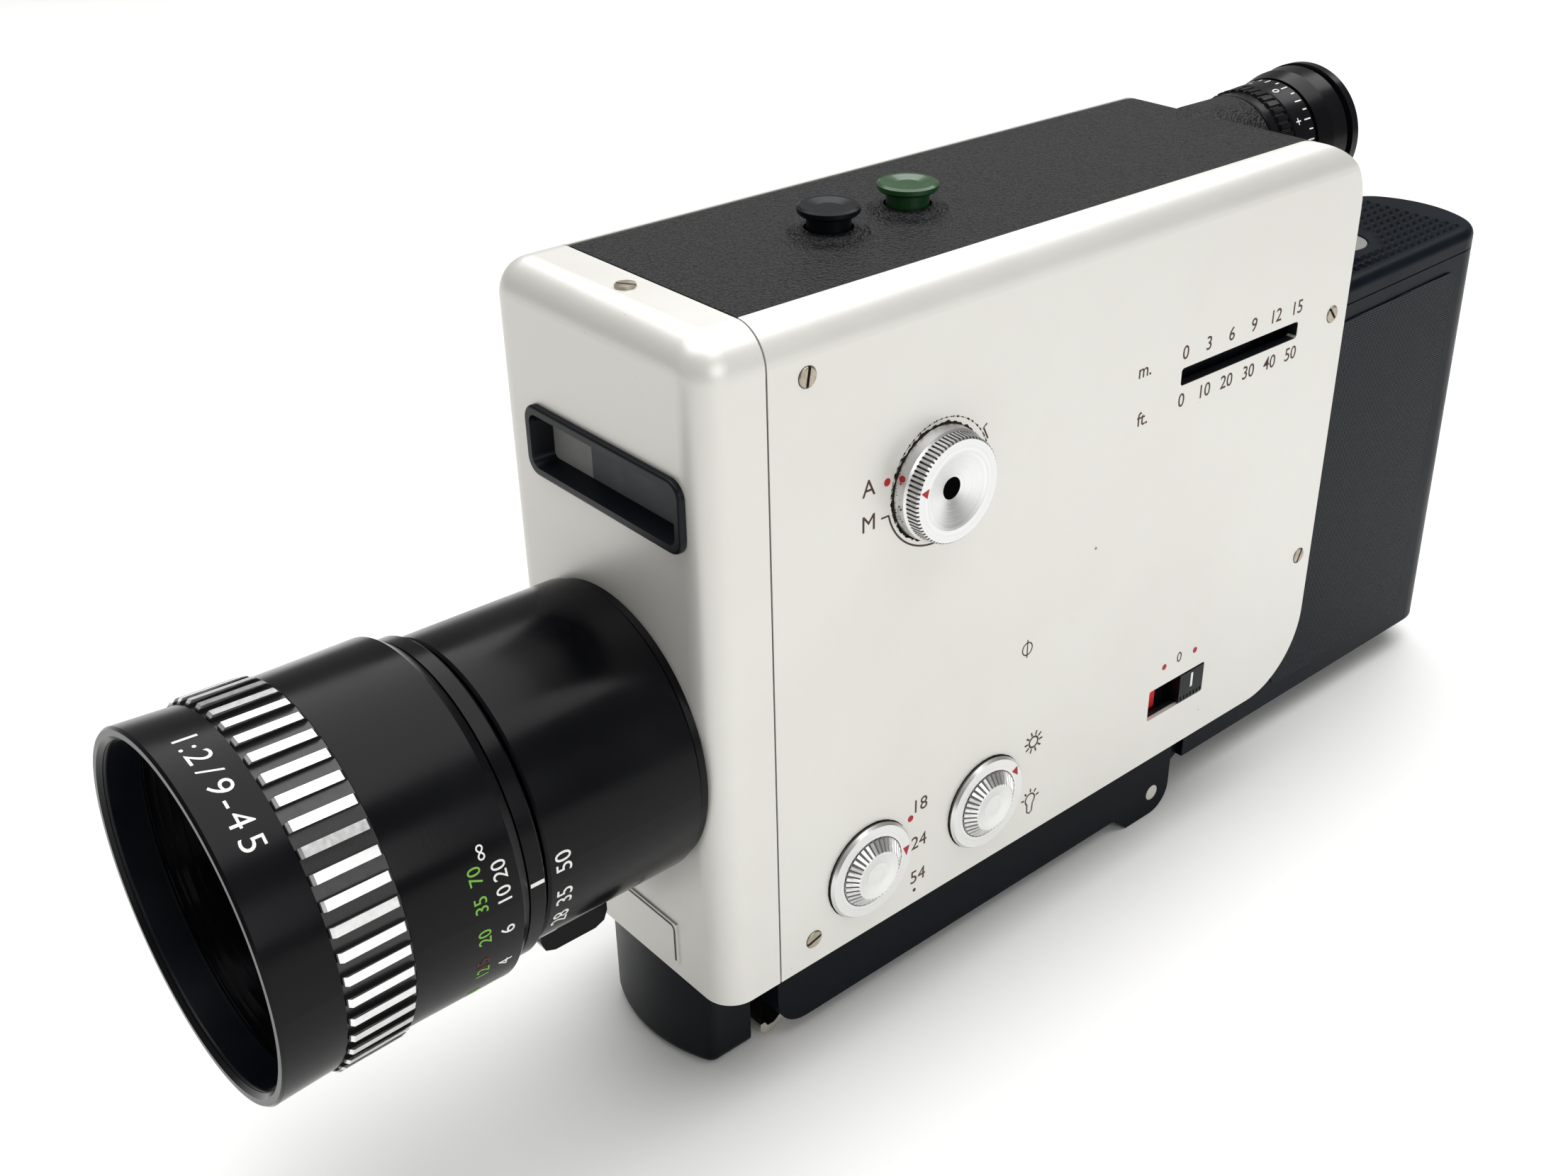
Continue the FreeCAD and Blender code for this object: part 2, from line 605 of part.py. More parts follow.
def index_ring():
    """Fixed ring with the reading mark between the two scales."""
    return turned_y([(BARREL_R + 0.05, FOCUS_REAR + 0.35), (24.15, FOCUS_REAR + 0.35),
                     (24.15, INDEX_REAR - 0.3), (23.9, INDEX_REAR),
                     (22.6, INDEX_REAR), (22.6, ZOOM_FRONT - 0.35),
                     (BARREL_R + 0.05, ZOOM_FRONT - 0.35)], 0, AXIS_Z)


def focus_ring():
    return turned_y([(RING_BORE, GRIP_FRONT), (24.8, GRIP_FRONT), (24.8, GRIP_REAR),
                     (FOCUS_R, GRIP_REAR), (FOCUS_R - 0.05, FOCUS_REAR - 1.6),
                     (24.3, FOCUS_REAR), (RING_BORE, FOCUS_REAR)], 0, AXIS_Z)


def focus_grip():
    """Ring of flat-topped ribs with deep grooves between them."""
    ring = turned_y([(24.85, GRIP_FRONT + 0.05), (GRIP_R - 0.5, GRIP_FRONT + 0.05),
                     (GRIP_R, GRIP_FRONT + 0.6), (GRIP_R - 0.25, GRIP_REAR - 0.6),
                     (GRIP_R - 0.8, GRIP_REAR - 0.05), (24.85, GRIP_REAR - 0.05)], 0, AXIS_Z)
    step = 360.0 / GRIP_RIBS
    width = 2 * math.pi * GRIP_R / GRIP_RIBS * 0.60
    for k in range(GRIP_RIBS):
        groove = box(GRIP_R - 1.0, GRIP_R + 2, GRIP_FRONT - 1, GRIP_REAR + 1,
                     AXIS_Z - width / 2, AXIS_Z + width / 2)
        groove.rotate(V(0, 0, AXIS_Z), Y_AXIS, step * k)
        ring = ring.cut(groove)
    return ring


def lens_bezel():
    """Front ring with the filter thread bore and stepped baffle rings."""
    return turned_y([(20.8, GRIP_FRONT - 0.05), (25.8, GRIP_FRONT - 0.05),
                     (RIM_R, LENS_FRONT + 0.4), (RIM_R - 0.3, LENS_FRONT),
                     (FILTER_R + 0.6, LENS_FRONT), (FILTER_R, LENS_FRONT + 0.6),
                     (FILTER_R, FILTER_END), (23.4, FILTER_END), (23.4, FILTER_END + 0.8),
                     (22.6, FILTER_END + 0.8), (22.6, FILTER_END + 1.6),
                     (20.8, FILTER_END + 1.6)], 0, AXIS_Z)


def lens_disc(radius, y_front, y_rear, bulge_front, bulge_rear):
    """Lens with spherical faces; a bulge below zero is hollow."""
    disc = cyl_y(radius, y_front - max(bulge_front, 0), y_rear + max(bulge_rear, 0), 0, AXIS_Z)
    for y_edge, bulge, way in ((y_front, bulge_front, -1), (y_rear, bulge_rear, 1)):
        sag = abs(bulge)
        ball_r = (radius * radius + sag * sag) / (2 * sag)
        vertex = y_edge + way * bulge
        if bulge > 0:
            disc = disc.common(Part.makeSphere(ball_r, V(0, vertex - way * ball_r, AXIS_Z)))
        else:
            disc = disc.cut(Part.makeSphere(ball_r, V(0, vertex + way * ball_r, AXIS_Z)))
    return disc


def variator_cell():
    return turned_y([(14.9, -34.0), (17.94, -34.0), (17.94, -24.0), (14.9, -24.0)], 0, AXIS_Z)


def eyepiece_tube():
    return turned_y([(7.0, 139.0), (EYE_TUBE_R, 139.0), (EYE_TUBE_R, EYE_TUBE_END),
                     (7.0, EYE_TUBE_END)], EYE_X, EYE_Z)


def diopter_ring():
    """Sleeve with a plain step, a serrated band and a scale ring, turning on the tube."""
    bore = EYE_TUBE_R + RUNNING
    ring = turned_y([(bore, BOSS_END + 0.3), (9.7, BOSS_END + 0.3), (9.9, BOSS_END + 0.6),
                     (9.9, 147.0), (10.35, 147.2), (10.35, 150.0), (10.1, 150.2),
                     (10.45, 150.5), (10.7, 155.8), (bore, 155.8)], EYE_X, EYE_Z)
    for k in range(40):
        angle = 2 * math.pi * k / 40
        ring = ring.cut(cyl_y(0.35, 146, 150.1, EYE_X + 10.4 * math.cos(angle),
                              EYE_Z + 10.4 * math.sin(angle)))
    return ring


def eyecup():
    """Flared cup with a deep groove before its outer lip."""
    return turned_y([(8.2, EYE_TUBE_END + 0.05), (10.9, EYE_TUBE_END + 0.05), (11.7, 160.0),
                     (11.95, 163.9), (10.9, 164.2), (10.9, 165.0), (EYECUP_R, 165.3),
                     (EYECUP_R, EYECUP_END - 0.4), (EYECUP_R - 0.5, EYECUP_END),
                     (10.0, EYECUP_END), (8.2, 163.4)], EYE_X, EYE_Z)


def eyepiece_lens():
    return cyl_y(6.95, 153.0, 155.4, EYE_X, EYE_Z)


def finder_prism():
    """Glass block that folds the finder light back to the eyepiece."""
    z0 = EYE_Z - 7.2
    return side_slab([(14.0, z0), (28.0, z0), (28.0, z0 + 12.5), (14.0, z0 + 5.0)],
                     EYE_X - 6, EYE_X + 6)


def base_housing():
    """Crackle-finished housing under the body, with the two hinge cheeks."""
    low = BASE_LOW
    outline = [(BASE_FRONT, BODY_Z - 0.02)]
    for k in range(9):
        angle = math.radians(180 + 11.25 * k)
        outline.append((BASE_FRONT + BASE_NOSE_R * (1 + math.cos(angle)),
                        low + BASE_NOSE_R * (1 + math.sin(angle))))
    outline += [(101.0, low), (104.5, 0.0), (PIN_Y, 0.0)]
    for k in range(1, 7):
        angle = math.radians(-90 + 15 * k)
        outline.append((PIN_Y + LUG_R * math.cos(angle), PIN_Z + LUG_R * math.sin(angle)))
    outline += [(PIN_Y + LUG_R, 14.0), (PIN_Y + LUG_R + 0.6, BODY_Z - 0.02)]
    block = side_slab(outline, -BASE_W, BASE_W)
    block = block.cut(box(-CHEEK_IN, CHEEK_IN, 97.0, 120.0, -1, 11.2))
    block = block.cut(box(-BASE_W + 2.2, BASE_W - 2.2, 19.0, 94.0, 6.0, BODY_Z + 1))
    return block.cut(cyl_x(PIN_R + 0.02, -20, 20, PIN_Y, PIN_Z))


def release_trigger():
    """Curved lever under the front cover, hung from a pin inside it."""
    left, right = V(-TRIGGER_W, TRIGGER_SIDE, 0), V(TRIGGER_W, TRIGGER_SIDE, 0)
    rear_left, rear_right = V(-TRIGGER_W, TRIGGER_REAR, 0), V(TRIGGER_W, TRIGGER_REAR, 0)
    bow = Part.Arc(left, V(0, TRIGGER_FRONT, 0), right).toShape()
    edges = [Part.makeLine(rear_left, left), bow, Part.makeLine(right, rear_right),
             Part.makeLine(rear_right, rear_left)]
    blade = Part.Face(Part.Wire(edges)).extrude(V(0, 0, BODY_Z - 0.6))
    blade = round_upright(blade, 2.2, lambda m: m.y < TRIGGER_REAR - 1)
    lower = [e for e in blade.Edges
             if e.BoundBox.ZMax < 1e-3 and e.CenterOfMass.y < TRIGGER_REAR - 0.2]
    blade = blade.makeFillet(1.6, lower)
    ear = box(-4.4, 4.4, 5.6, 9.6, BODY_Z - 1, TRIGGER_PIN_Z + 2.0)
    return blade.fuse(ear).cut(cyl_x(1.05, -10, 10, TRIGGER_PIN_Y, TRIGGER_PIN_Z))


def handle_catch():
    """Spring tongue that holds the grip when it hangs down."""
    top = BASE_LOW - 0.02
    return side_slab([(15.1, 3.0), (15.1, 1.5), (16.2, 0.5), (17.6, 0.4), (19.4, 1.3),
                      (20.6, 2.3), (24.4, 2.4), (24.4, top), (20.8, top), (19.4, 3.0),
                      (18.0, 2.0), (16.6, 2.0), (16.0, 3.0)], -13.6, 13.6)


def grip_outline():
    """Side outline of grip and arm as a face in the plane x = 0."""
    def top(y):
        return GRIP_TOP + GRIP_SLOPE * (y - GRIP_Y)
    corner_y = BODY_L - REAR_LOW_R
    corner_z = BODY_Z + REAR_LOW_R
    reach = REAR_LOW_R + ARM_GAP
    rear = GRIP_REAR_Y
    low_front = (123.6, GRIP_LOW)
    start = V(0, corner_y, corner_z - reach)
    middle = V(0, corner_y + reach * math.sqrt(0.5), corner_z - reach * math.sqrt(0.5))
    end = V(0, corner_y + reach, corner_z)
    arc = Part.Arc(start, middle, end).toShape()
    path = [end, V(0, GRIP_Y, top(GRIP_Y)), V(0, rear, top(rear)), V(0, rear, GRIP_LOW),
            V(0, *low_front),
            V(0, 123.6, corner_z - reach), start]
    lines = [Part.makeLine(a, b) for a, b in zip(path, path[1:])]
    return Part.Face(Part.Wire([arc] + lines))


def grip_solid():
    """Outer form of the folding grip."""
    slab = grip_outline().extrude(V(GRIP_W * 2, 0, 0))
    slab.translate(V(-GRIP_W, 0, 0))
    heel = [e for e in slab.Edges
            if e.CenterOfMass.y > GRIP_REAR_Y - 0.01 and abs(e.CenterOfMass.z - GRIP_LOW) < 1e-6]
    slab = slab.makeFillet(4.0, heel).common(grip_plan())
    return round_upright(slab, 3.2, lambda m: m.y < 150 and m.z > 40)


def grip_plan():
    """Grip seen from above: straight sides and a bowed rear that leans forward."""
    tip = GRIP_REAR_Y + 0.6
    side = tip - GRIP_BOW_R + math.sqrt(GRIP_BOW_R ** 2 - GRIP_W ** 2)
    bow = Part.Arc(V(-GRIP_W, side, 0), V(0, tip, 0), V(GRIP_W, side, 0)).toShape()
    sides = [Part.makeLine(V(GRIP_W, side, 0), V(GRIP_W, 110, 0)),
             Part.makeLine(V(GRIP_W, 110, 0), V(-GRIP_W, 110, 0)),
             Part.makeLine(V(-GRIP_W, 110, 0), V(-GRIP_W, side, 0))]
    plan = Part.Face(Part.Wire([bow] + sides)).extrude(V(0, -GRIP_LEAN * 120, 120))
    return round_upright(plan, GRIP_CORNER_R, lambda m: m.y > 150)


def cap_region():
    """Space above the parting line of the end cap."""
    y0, y1 = GRIP_Y - 10, GRIP_REAR_Y + 10
    z0 = GRIP_TOP - CAP_T + GRIP_SLOPE * (y0 - GRIP_Y)
    z1 = GRIP_TOP - CAP_T + GRIP_SLOPE * (y1 - GRIP_Y)
    return side_slab([(y0, z0), (y1, z1), (y1, 130), (y0, 130)], -30, 30)


def grip_knuckle():
    """Hinge eye of the grip with the web that joins it to the arm."""
    eye = cyl_x(KNUCKLE_R, -KNUCKLE_W, KNUCKLE_W, PIN_Y, PIN_Z)
    web = side_slab([(PIN_Y, PIN_Z - KNUCKLE_R), (124.0, GRIP_LOW), (124.0, 20.6),
                     (119.6, 20.6), (118.6, 10.0), (PIN_Y, PIN_Z + KNUCKLE_R)],
                    -KNUCKLE_W, KNUCKLE_W)
    return eye.fuse(web).cut(cyl_x(PIN_R + 0.05, -20, 20, PIN_Y, PIN_Z))


def handle_shells(grip):
    """Left and right halves of the hollow grip."""
    whole = grip.cut(cap_region())
    whole = whole.cut(box(-GRIP_W + GRIP_WALL, GRIP_W - GRIP_WALL, GRIP_Y + GRIP_WALL, 198.5,
                          12.6, 120))
    whole = whole.fuse(grip_knuckle()).removeSplitter()
    left = whole.common(box(0.02, 30, 90, 230, -5, 130))
    right = whole.common(box(-30, -0.02, 90, 230, -5, 130))
    return left, right


def grip_end_cap(grip):
    cap = grip.common(cap_region())
    cap.translate(V(0, 0, 0.25))
    rim = [e for e in cap.Edges
           if e.CenterOfMass.z > GRIP_TOP + GRIP_SLOPE * (e.CenterOfMass.y - GRIP_Y) - 0.3]
    cap = cap.makeFillet(2.2, rim)
    return cap.cut(cyl_z(BUSH_R + 0.02, 80, 120, 0, BUSH_Y))


def tripod_bush():
    """Threaded bush in the end cap, with a flange below it."""
    top = GRIP_TOP + GRIP_SLOPE * (BUSH_Y - GRIP_Y) + 0.2
    return turned_z([(TRIPOD_R, top - TRIPOD_DEPTH), (TRIPOD_R, top - 0.3),
                     (TRIPOD_R + 0.3, top), (BUSH_R - 0.3, top), (BUSH_R, top - 0.3),
                     (BUSH_R, top - CAP_T - 1.2), (BUSH_R + 2.0, top - CAP_T - 1.2),
                     (BUSH_R + 2.0, top - TRIPOD_DEPTH - 1.2), (1e-3, top - TRIPOD_DEPTH - 1.2),
                     (1e-3, top - TRIPOD_DEPTH)], 0, BUSH_Y)


def batteries():
    """Four round cells in a staggered row."""
    cells = []
    for k in range(4):
        x = 5.4 if k % 2 else -5.4
        y = 158.0 + 9.6 * k
        cell = cyl_z(CELL_R, 22.0, 22.0 + CELL_L - 1.2, x, y)
        cells.append(cell.fuse(cyl_z(2.6, 21.0 + CELL_L - 0.3, 22.0 + CELL_L, x, y)))
    return Part.makeCompound(cells)


def battery_contacts():
    lower = box(-12.4, 12.4, 150.2, 195.0, 20.6, 21.9)
    upper = box(-12.4, 12.4, 150.2, 195.0, 22.15 + CELL_L, 23.2 + CELL_L)
    return Part.makeCompound([lower, upper])


def build():
    shell = body_shell()
    grip = grip_solid()
    left, right = handle_shells(grip)
    return {
        "front_cover": front_cover(shell),
        "left_side_panel": left_side_panel(shell),
        "centre_frame": centre_frame(shell),
        "film_door": film_door(shell),
        "hinge_leaf": hinge_leaf(),
        "hinge_pin": cyl_z(0.6, 40.2, 115.8, HINGE_X, HINGE_Y),
        "door_latch": door_latch(),
        "chassis": chassis(),
        "film_gate": film_gate(),
        "take_up_spindle": take_up_spindle(),
        "shutter_gear": shutter_gear(),
        "shutter_disc": shutter_disc(),
        "drive_motor": drive_motor(),
        "motor_pinion": motor_pinion(),
        "window_frame": window_frame(),
        "window_glass": window_glass(),
        "meter_cell": meter_cell(),
        "badge_plate": badge_plate(),
        "cover_screws": screw_heads(),
        "exposure_knob": exposure_knob(),
        "speed_dial": dial_disc(*SPEED_DIAL),
        "speed_dial_knob": dial_knob(*SPEED_DIAL),
        "filter_dial": dial_disc(*FILTER_DIAL),
        "filter_dial_knob": dial_knob(*FILTER_DIAL),
        "counter_frame": counter_frame(),
        "counter_pointer": counter_pointer(),
        "switch_base": switch_base(),
        "switch_slider": switch_slider(),
        "tele_button": push_button(*TELE_BUTTON),
        "wide_button": push_button(*WIDE_BUTTON),
        "tele_button_spring": button_spring(*TELE_BUTTON),
        "wide_button_spring": button_spring(*WIDE_BUTTON),
        "lens_flange": lens_flange(),
        "lens_barrel": lens_barrel(),
        "zoom_ring": zoom_ring(),
        "zoom_lever": zoom_lever(),
        "index_ring": index_ring(),
        "focus_ring": focus_ring(),
        "focus_grip": focus_grip(),
        "lens_bezel": lens_bezel(),
        "front_lens": lens_disc(RING_BORE - 0.02, -55.0, -51.5, 3.0, 0.4),
        "variator_cell": variator_cell(),
        "variator_lens": lens_disc(14.8, -31.0, -27.0, -1.2, -1.2),
        "rear_lens": lens_disc(16.78, 6.0, 9.0, 1.2, 0.8),
        "eyepiece_tube": eyepiece_tube(),
        "diopter_ring": diopter_ring(),
        "eyecup": eyecup(),
        "eyepiece_lens": eyepiece_lens(),
        "finder_prism": finder_prism(),
        "base_housing": base_housing(),
        "release_trigger": release_trigger(),
        "trigger_pin": cyl_x(0.97, -7.2, 7.2, TRIGGER_PIN_Y, TRIGGER_PIN_Z),
        "handle_catch": handle_catch(),
        "pivot_pin": cyl_x(PIN_R, -BASE_W - 0.05, BASE_W + 0.05, PIN_Y, PIN_Z),
        "handle_shell_left": left,
        "handle_shell_right": right,
        "grip_end_cap": grip_end_cap(grip),
        "tripod_bush": tripod_bush(),
        "batteries": batteries(),
        "battery_contacts": battery_contacts(),
    }


def main():
    os.makedirs("parts", exist_ok=True)
    shift = V(-MID_X, -MID_Y, 0)
    for name, shape in build().items():
        shape.translate(shift)
        print(name, shape.isValid(), len(shape.Solids), round(shape.Volume, 1))
        shape.exportStep("parts/" + name + ".step")


main()
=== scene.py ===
import math

import bmesh
import bpy
from mathutils import Matrix, Vector


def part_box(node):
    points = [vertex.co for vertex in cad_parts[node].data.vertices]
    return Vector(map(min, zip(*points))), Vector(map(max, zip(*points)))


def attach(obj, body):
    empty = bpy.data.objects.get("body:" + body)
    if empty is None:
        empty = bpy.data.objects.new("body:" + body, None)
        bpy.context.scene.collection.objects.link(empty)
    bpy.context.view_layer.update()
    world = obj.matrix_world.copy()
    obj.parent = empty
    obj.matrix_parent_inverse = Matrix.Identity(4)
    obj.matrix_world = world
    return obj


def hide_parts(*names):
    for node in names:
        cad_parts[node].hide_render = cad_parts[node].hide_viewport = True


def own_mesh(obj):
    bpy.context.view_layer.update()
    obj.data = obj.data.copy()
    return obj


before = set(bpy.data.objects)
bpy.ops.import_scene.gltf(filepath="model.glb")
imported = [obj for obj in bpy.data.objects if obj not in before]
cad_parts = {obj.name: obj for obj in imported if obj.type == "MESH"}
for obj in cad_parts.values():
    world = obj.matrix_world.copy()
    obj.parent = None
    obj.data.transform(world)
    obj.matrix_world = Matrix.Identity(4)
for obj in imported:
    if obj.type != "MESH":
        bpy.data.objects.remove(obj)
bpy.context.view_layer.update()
MM = 0.001

# The middle of the front cover's face at floor height: every position below is in
# millimetres from here, +X to the dials, +Y to the eyepiece, +Z up.
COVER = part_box("front_cover")
DATUM = Vector(((COVER[0].x + COVER[1].x) / 2, COVER[0].y, 0.0))


def at(x, y, z):
    """Point in the frame from millimetres from the datum."""
    return DATUM + Vector((x, y, z)) * MM


def centre(node):
    """Middle of a CAD node, in millimetres from the datum."""
    low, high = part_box(node)
    return ((low + high) / 2 - DATUM) / MM


def limits(node):
    """Lowest and highest corner of a CAD node, in millimetres from the datum."""
    low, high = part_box(node)
    return (low - DATUM) / MM, (high - DATUM) / MM


LENS = centre("lens_barrel")
KNOB = centre("exposure_knob")
SPEED = centre("speed_dial_knob")
FILTER = centre("filter_dial_knob")
BUSH = centre("tripod_bush")
SIDE_X = limits("left_side_panel")[1].x

LIFT = 0.005        # gap between a mark and the surface that it is printed on
INK_DEPTH = 0.02    # thickness of a printed mark

# ---------------------------------------------------------------- materials

# The Mix node's colour sockets come after its sockets for other kinds of value.
MIX_FIRST, MIX_SECOND, MIX_RESULT = 6, 7, 2
NOISE_RANGE = (0.3, 0.7)        # smooth noise seldom leaves this range
ROUGH_SPREAD = 0.06             # how far a surface's roughness wanders either way

SILVER_TONES = ((0.655, 0.640, 0.605), (0.700, 0.690, 0.655))
CHIP_COLOUR = (0.10, 0.09, 0.08)
WRINKLE_TONES = ((0.001, 0.001, 0.002), (0.014, 0.014, 0.016))
RIB_GROOVE = (0.012, 0.012, 0.013)
RIB_TONES = ((0.72, 0.72, 0.72), (0.93, 0.93, 0.93))
RIB_EDGE = (0.36, 0.33)         # depth below the crest where a rib turns from black to bright
ANODISED_ROUGH = 0.20
ANODISED_TONES = ((0.0016, 0.00176, 0.0024), (0.00288, 0.00304, 0.00416))
WEAVE_TONES = ((0.002, 0.005, 0.007), (0.009, 0.015, 0.019))
WEAVE_PITCH = 1.05
RING_SHADE = 0.82               # darkest of a turned face's rings, against its colour
TOOTH_BLUR = 0.1                # width of a groove's edge, as a cosine either way
BAND_BLUR = 0.03                # width of a serrated band's edge


def tree(name):
    """New material, its node tree and its shader."""
    material = bpy.data.materials.new(name)
    material.use_nodes = True
    return material, material.node_tree, material.node_tree.nodes["Principled BSDF"]


def node(nodes, kind, **values):
    """New shader node; a keyword that isn't a property sets the input of that name."""
    made = nodes.nodes.new(kind)
    for key, value in values.items():
        if hasattr(made, key):
            setattr(made, key, value)
        else:
            made.inputs[key.replace("_", " ")].default_value = value
    return made


def maths(nodes, operation, a, b=0.0):
    made = nodes.nodes.new("ShaderNodeMath")
    made.operation = operation
    for socket, value in zip(made.inputs, (a, b)):
        if isinstance(value, (int, float)):
            socket.default_value = value
        else:
            nodes.links.new(value, socket)
    return made.outputs[0]


def noise(nodes, vector, scale, detail=3.0, roughness=0.55):
    made = node(nodes, "ShaderNodeTexNoise", Scale=scale, Detail=detail, Roughness=roughness)
    nodes.links.new(vector, made.inputs["Vector"])
    return made.outputs["Fac"]


def lines(nodes, value, scale):
    """Fine lines across the direction in which a value grows."""
    made = node(nodes, "ShaderNodeTexNoise", noise_dimensions="1D", Scale=scale, Detail=2.0)
    nodes.links.new(value, made.inputs["W"])
    return made.outputs["Fac"]


def place(nodes):
    return nodes.nodes.new("ShaderNodeTexCoord").outputs["Object"]


def coordinates(nodes, where):
    split = nodes.nodes.new("ShaderNodeSeparateXYZ")
    nodes.links.new(where, split.inputs[0])
    return split.outputs


def from_axis(nodes, where, home, across):
    """Two offsets and the distance from a line through home along the third direction."""
    parts = coordinates(nodes, where)
    du, dv = (maths(nodes, "SUBTRACT", parts[k], home[k]) for k in across)
    squares = maths(nodes, "ADD", maths(nodes, "MULTIPLY", du, du),
                    maths(nodes, "MULTIPLY", dv, dv))
    return du, dv, maths(nodes, "SQRT", squares)


def ramp(nodes, value, low, high, start=0.0, end=1.0):
    """From low to high as the value goes from start to end."""
    made = node(nodes, "ShaderNodeMapRange", From_Min=start, From_Max=end, To_Min=low, To_Max=high)
    nodes.links.new(value, made.inputs["Value"])
    return made.outputs["Result"]


def blend(nodes, factor, first, second):
    """Colour between two; each is a colour or a socket."""
    made = nodes.nodes.new("ShaderNodeMix")
    made.data_type = "RGBA"
    nodes.links.new(factor, made.inputs["Factor"])
    for index, value in ((MIX_FIRST, first), (MIX_SECOND, second)):
        if isinstance(value, (tuple, list)):
            made.inputs[index].default_value = (*value, 1.0)
        else:
            nodes.links.new(value, made.inputs[index])
    return made.outputs[MIX_RESULT]


def bump(nodes, shader, height, strength, distance):
    made = node(nodes, "ShaderNodeBump", Strength=strength, Distance=distance * MM)
    nodes.links.new(height, made.inputs["Height"])
    nodes.links.new(made.outputs["Normal"], shader.inputs["Normal"])


def surface(name, colour, other, rough, metallic=0.0, grain=900.0, relief=0.0, depth=0.05,
            patch=60.0, coat=0.0, specular=0.5):
    """Painted, moulded or plated finish: slow patches, fine grain and a little relief."""
    material, nodes, shader = tree(name)
    where = place(nodes)
    slow = noise(nodes, where, patch, 4.0)
    tone = ramp(nodes, slow, 0.0, 1.0, *NOISE_RANGE)
    nodes.links.new(blend(nodes, tone, colour, other), shader.inputs["Base Color"])
    roughness = ramp(nodes, slow, rough - ROUGH_SPREAD, rough + ROUGH_SPREAD, *NOISE_RANGE)
    nodes.links.new(roughness, shader.inputs["Roughness"])
    shader.inputs["Metallic"].default_value = metallic
    shader.inputs["Specular IOR Level"].default_value = specular
    shader.inputs["Coat Weight"].default_value = coat
    if relief:
        bump(nodes, shader, noise(nodes, where, grain, 2.0), relief, depth)
    return material


def silver_paint():
    """Satin pale paint over aluminium, with faint grime and a few tiny chips."""
    material, nodes, shader = tree("silver_paint")
    where = place(nodes)
    slow = noise(nodes, where, 22.0, 5.0)
    fine = noise(nodes, where, 2600.0, 2.0)
    paint = blend(nodes, ramp(nodes, slow, 0.0, 1.0, start=0.32, end=0.68), *SILVER_TONES)
    # a chip is a high peak of a fine noise, where a slower noise is high too
    peaks = ramp(nodes, noise(nodes, where, 420.0, 2.0, 0.4), 0.0, 1.0, start=0.755, end=0.775)
    places = ramp(nodes, noise(nodes, where, 34.0, 1.0), 0.0, 1.0, start=0.62, end=0.66)
    chips = maths(nodes, "MULTIPLY", peaks, places)
    nodes.links.new(blend(nodes, chips, paint, CHIP_COLOUR), shader.inputs["Base Color"])
    nodes.links.new(ramp(nodes, slow, 0.34, 0.44, *NOISE_RANGE), shader.inputs["Roughness"])
    shader.inputs["Metallic"].default_value = 0.35
    bump(nodes, shader, fine, 0.10, 0.02)
    return material


def wrinkle_paint():
    """Black crackle finish: crowded small cells; the colour is painted lighter on their tops as
    glints and darker between them as shade.
    """
    material, nodes, shader = tree("wrinkle_paint")
    where = place(nodes)
    cells = node(nodes, "ShaderNodeTexVoronoi", feature="F1", Scale=1800.0)
    warp = noise(nodes, where, 1100.0, 3.0)
    mixed = nodes.nodes.new("ShaderNodeVectorMath")
    mixed.operation = "SCALE"
    nodes.links.new(where, mixed.inputs[0])
    nodes.links.new(ramp(nodes, warp, 0.997, 1.003), mixed.inputs["Scale"])
    nodes.links.new(mixed.outputs[0], cells.inputs["Vector"])
    height = maths(nodes, "ADD", maths(nodes, "MULTIPLY", cells.outputs["Distance"], -0.9), warp)
    # painted highlight and shade: lighter on the cells' tops, darker in their hollows
    tone = ramp(nodes, height, 0.0, 1.0, start=-0.3, end=0.6)
    nodes.links.new(blend(nodes, tone, *WRINKLE_TONES), shader.inputs["Base Color"])
    shader.inputs["Specular IOR Level"].default_value = 0.20
    shader.inputs["Roughness"].default_value = 0.44
    bump(nodes, shader, height, 1.0, 0.28)
    return material


def turned_metal(name, colour, rough, hub, across=(1, 2), band=None):
    """Lathe-turned metal with fine rings about a hub; across holds the two directions
    that lie across its axis.

    band = (teeth, inner radius, outer radius, cosine at a groove's edge, grey) paints shade
    into the grooves of a serrated band, which lie at whole fractions of a turn from +Y.
    """
    material, nodes, shader = tree(name)
    du, dv, radius = from_axis(nodes, place(nodes), at(*hub), across)
    rings = lines(nodes, radius, 2400.0)
    tone = blend(nodes, rings, tuple(c * RING_SHADE for c in colour), colour)
    shader.inputs["Metallic"].default_value = 1.0
    if band:
        teeth, inner, outer, edge, grey = band
        angle = maths(nodes, "ARCTAN2", dv, du)
        wave = maths(nodes, "COSINE", maths(nodes, "MULTIPLY", angle, teeth))
        dark = ramp(nodes, wave, 0.0, 1.0, edge - TOOTH_BLUR, edge + TOOTH_BLUR)
        dark = maths(nodes, "MULTIPLY", dark,
                     ramp(nodes, radius, 0.0, 1.0, (inner - BAND_BLUR) * MM, inner * MM))
        dark = maths(nodes, "MULTIPLY", dark,
                     ramp(nodes, radius, 1.0, 0.0, outer * MM, (outer + BAND_BLUR) * MM))
        # painted shade in the grooves: a dark, less metallic grey
        tone = blend(nodes, dark, tone, (grey, grey * 0.96, grey * 0.92))
        nodes.links.new(ramp(nodes, dark, 1.0, 0.3), shader.inputs["Metallic"])
    nodes.links.new(tone, shader.inputs["Base Color"])
    shader.inputs["Roughness"].default_value = rough
    bump(nodes, shader, rings, 0.25, 0.05)
    return material


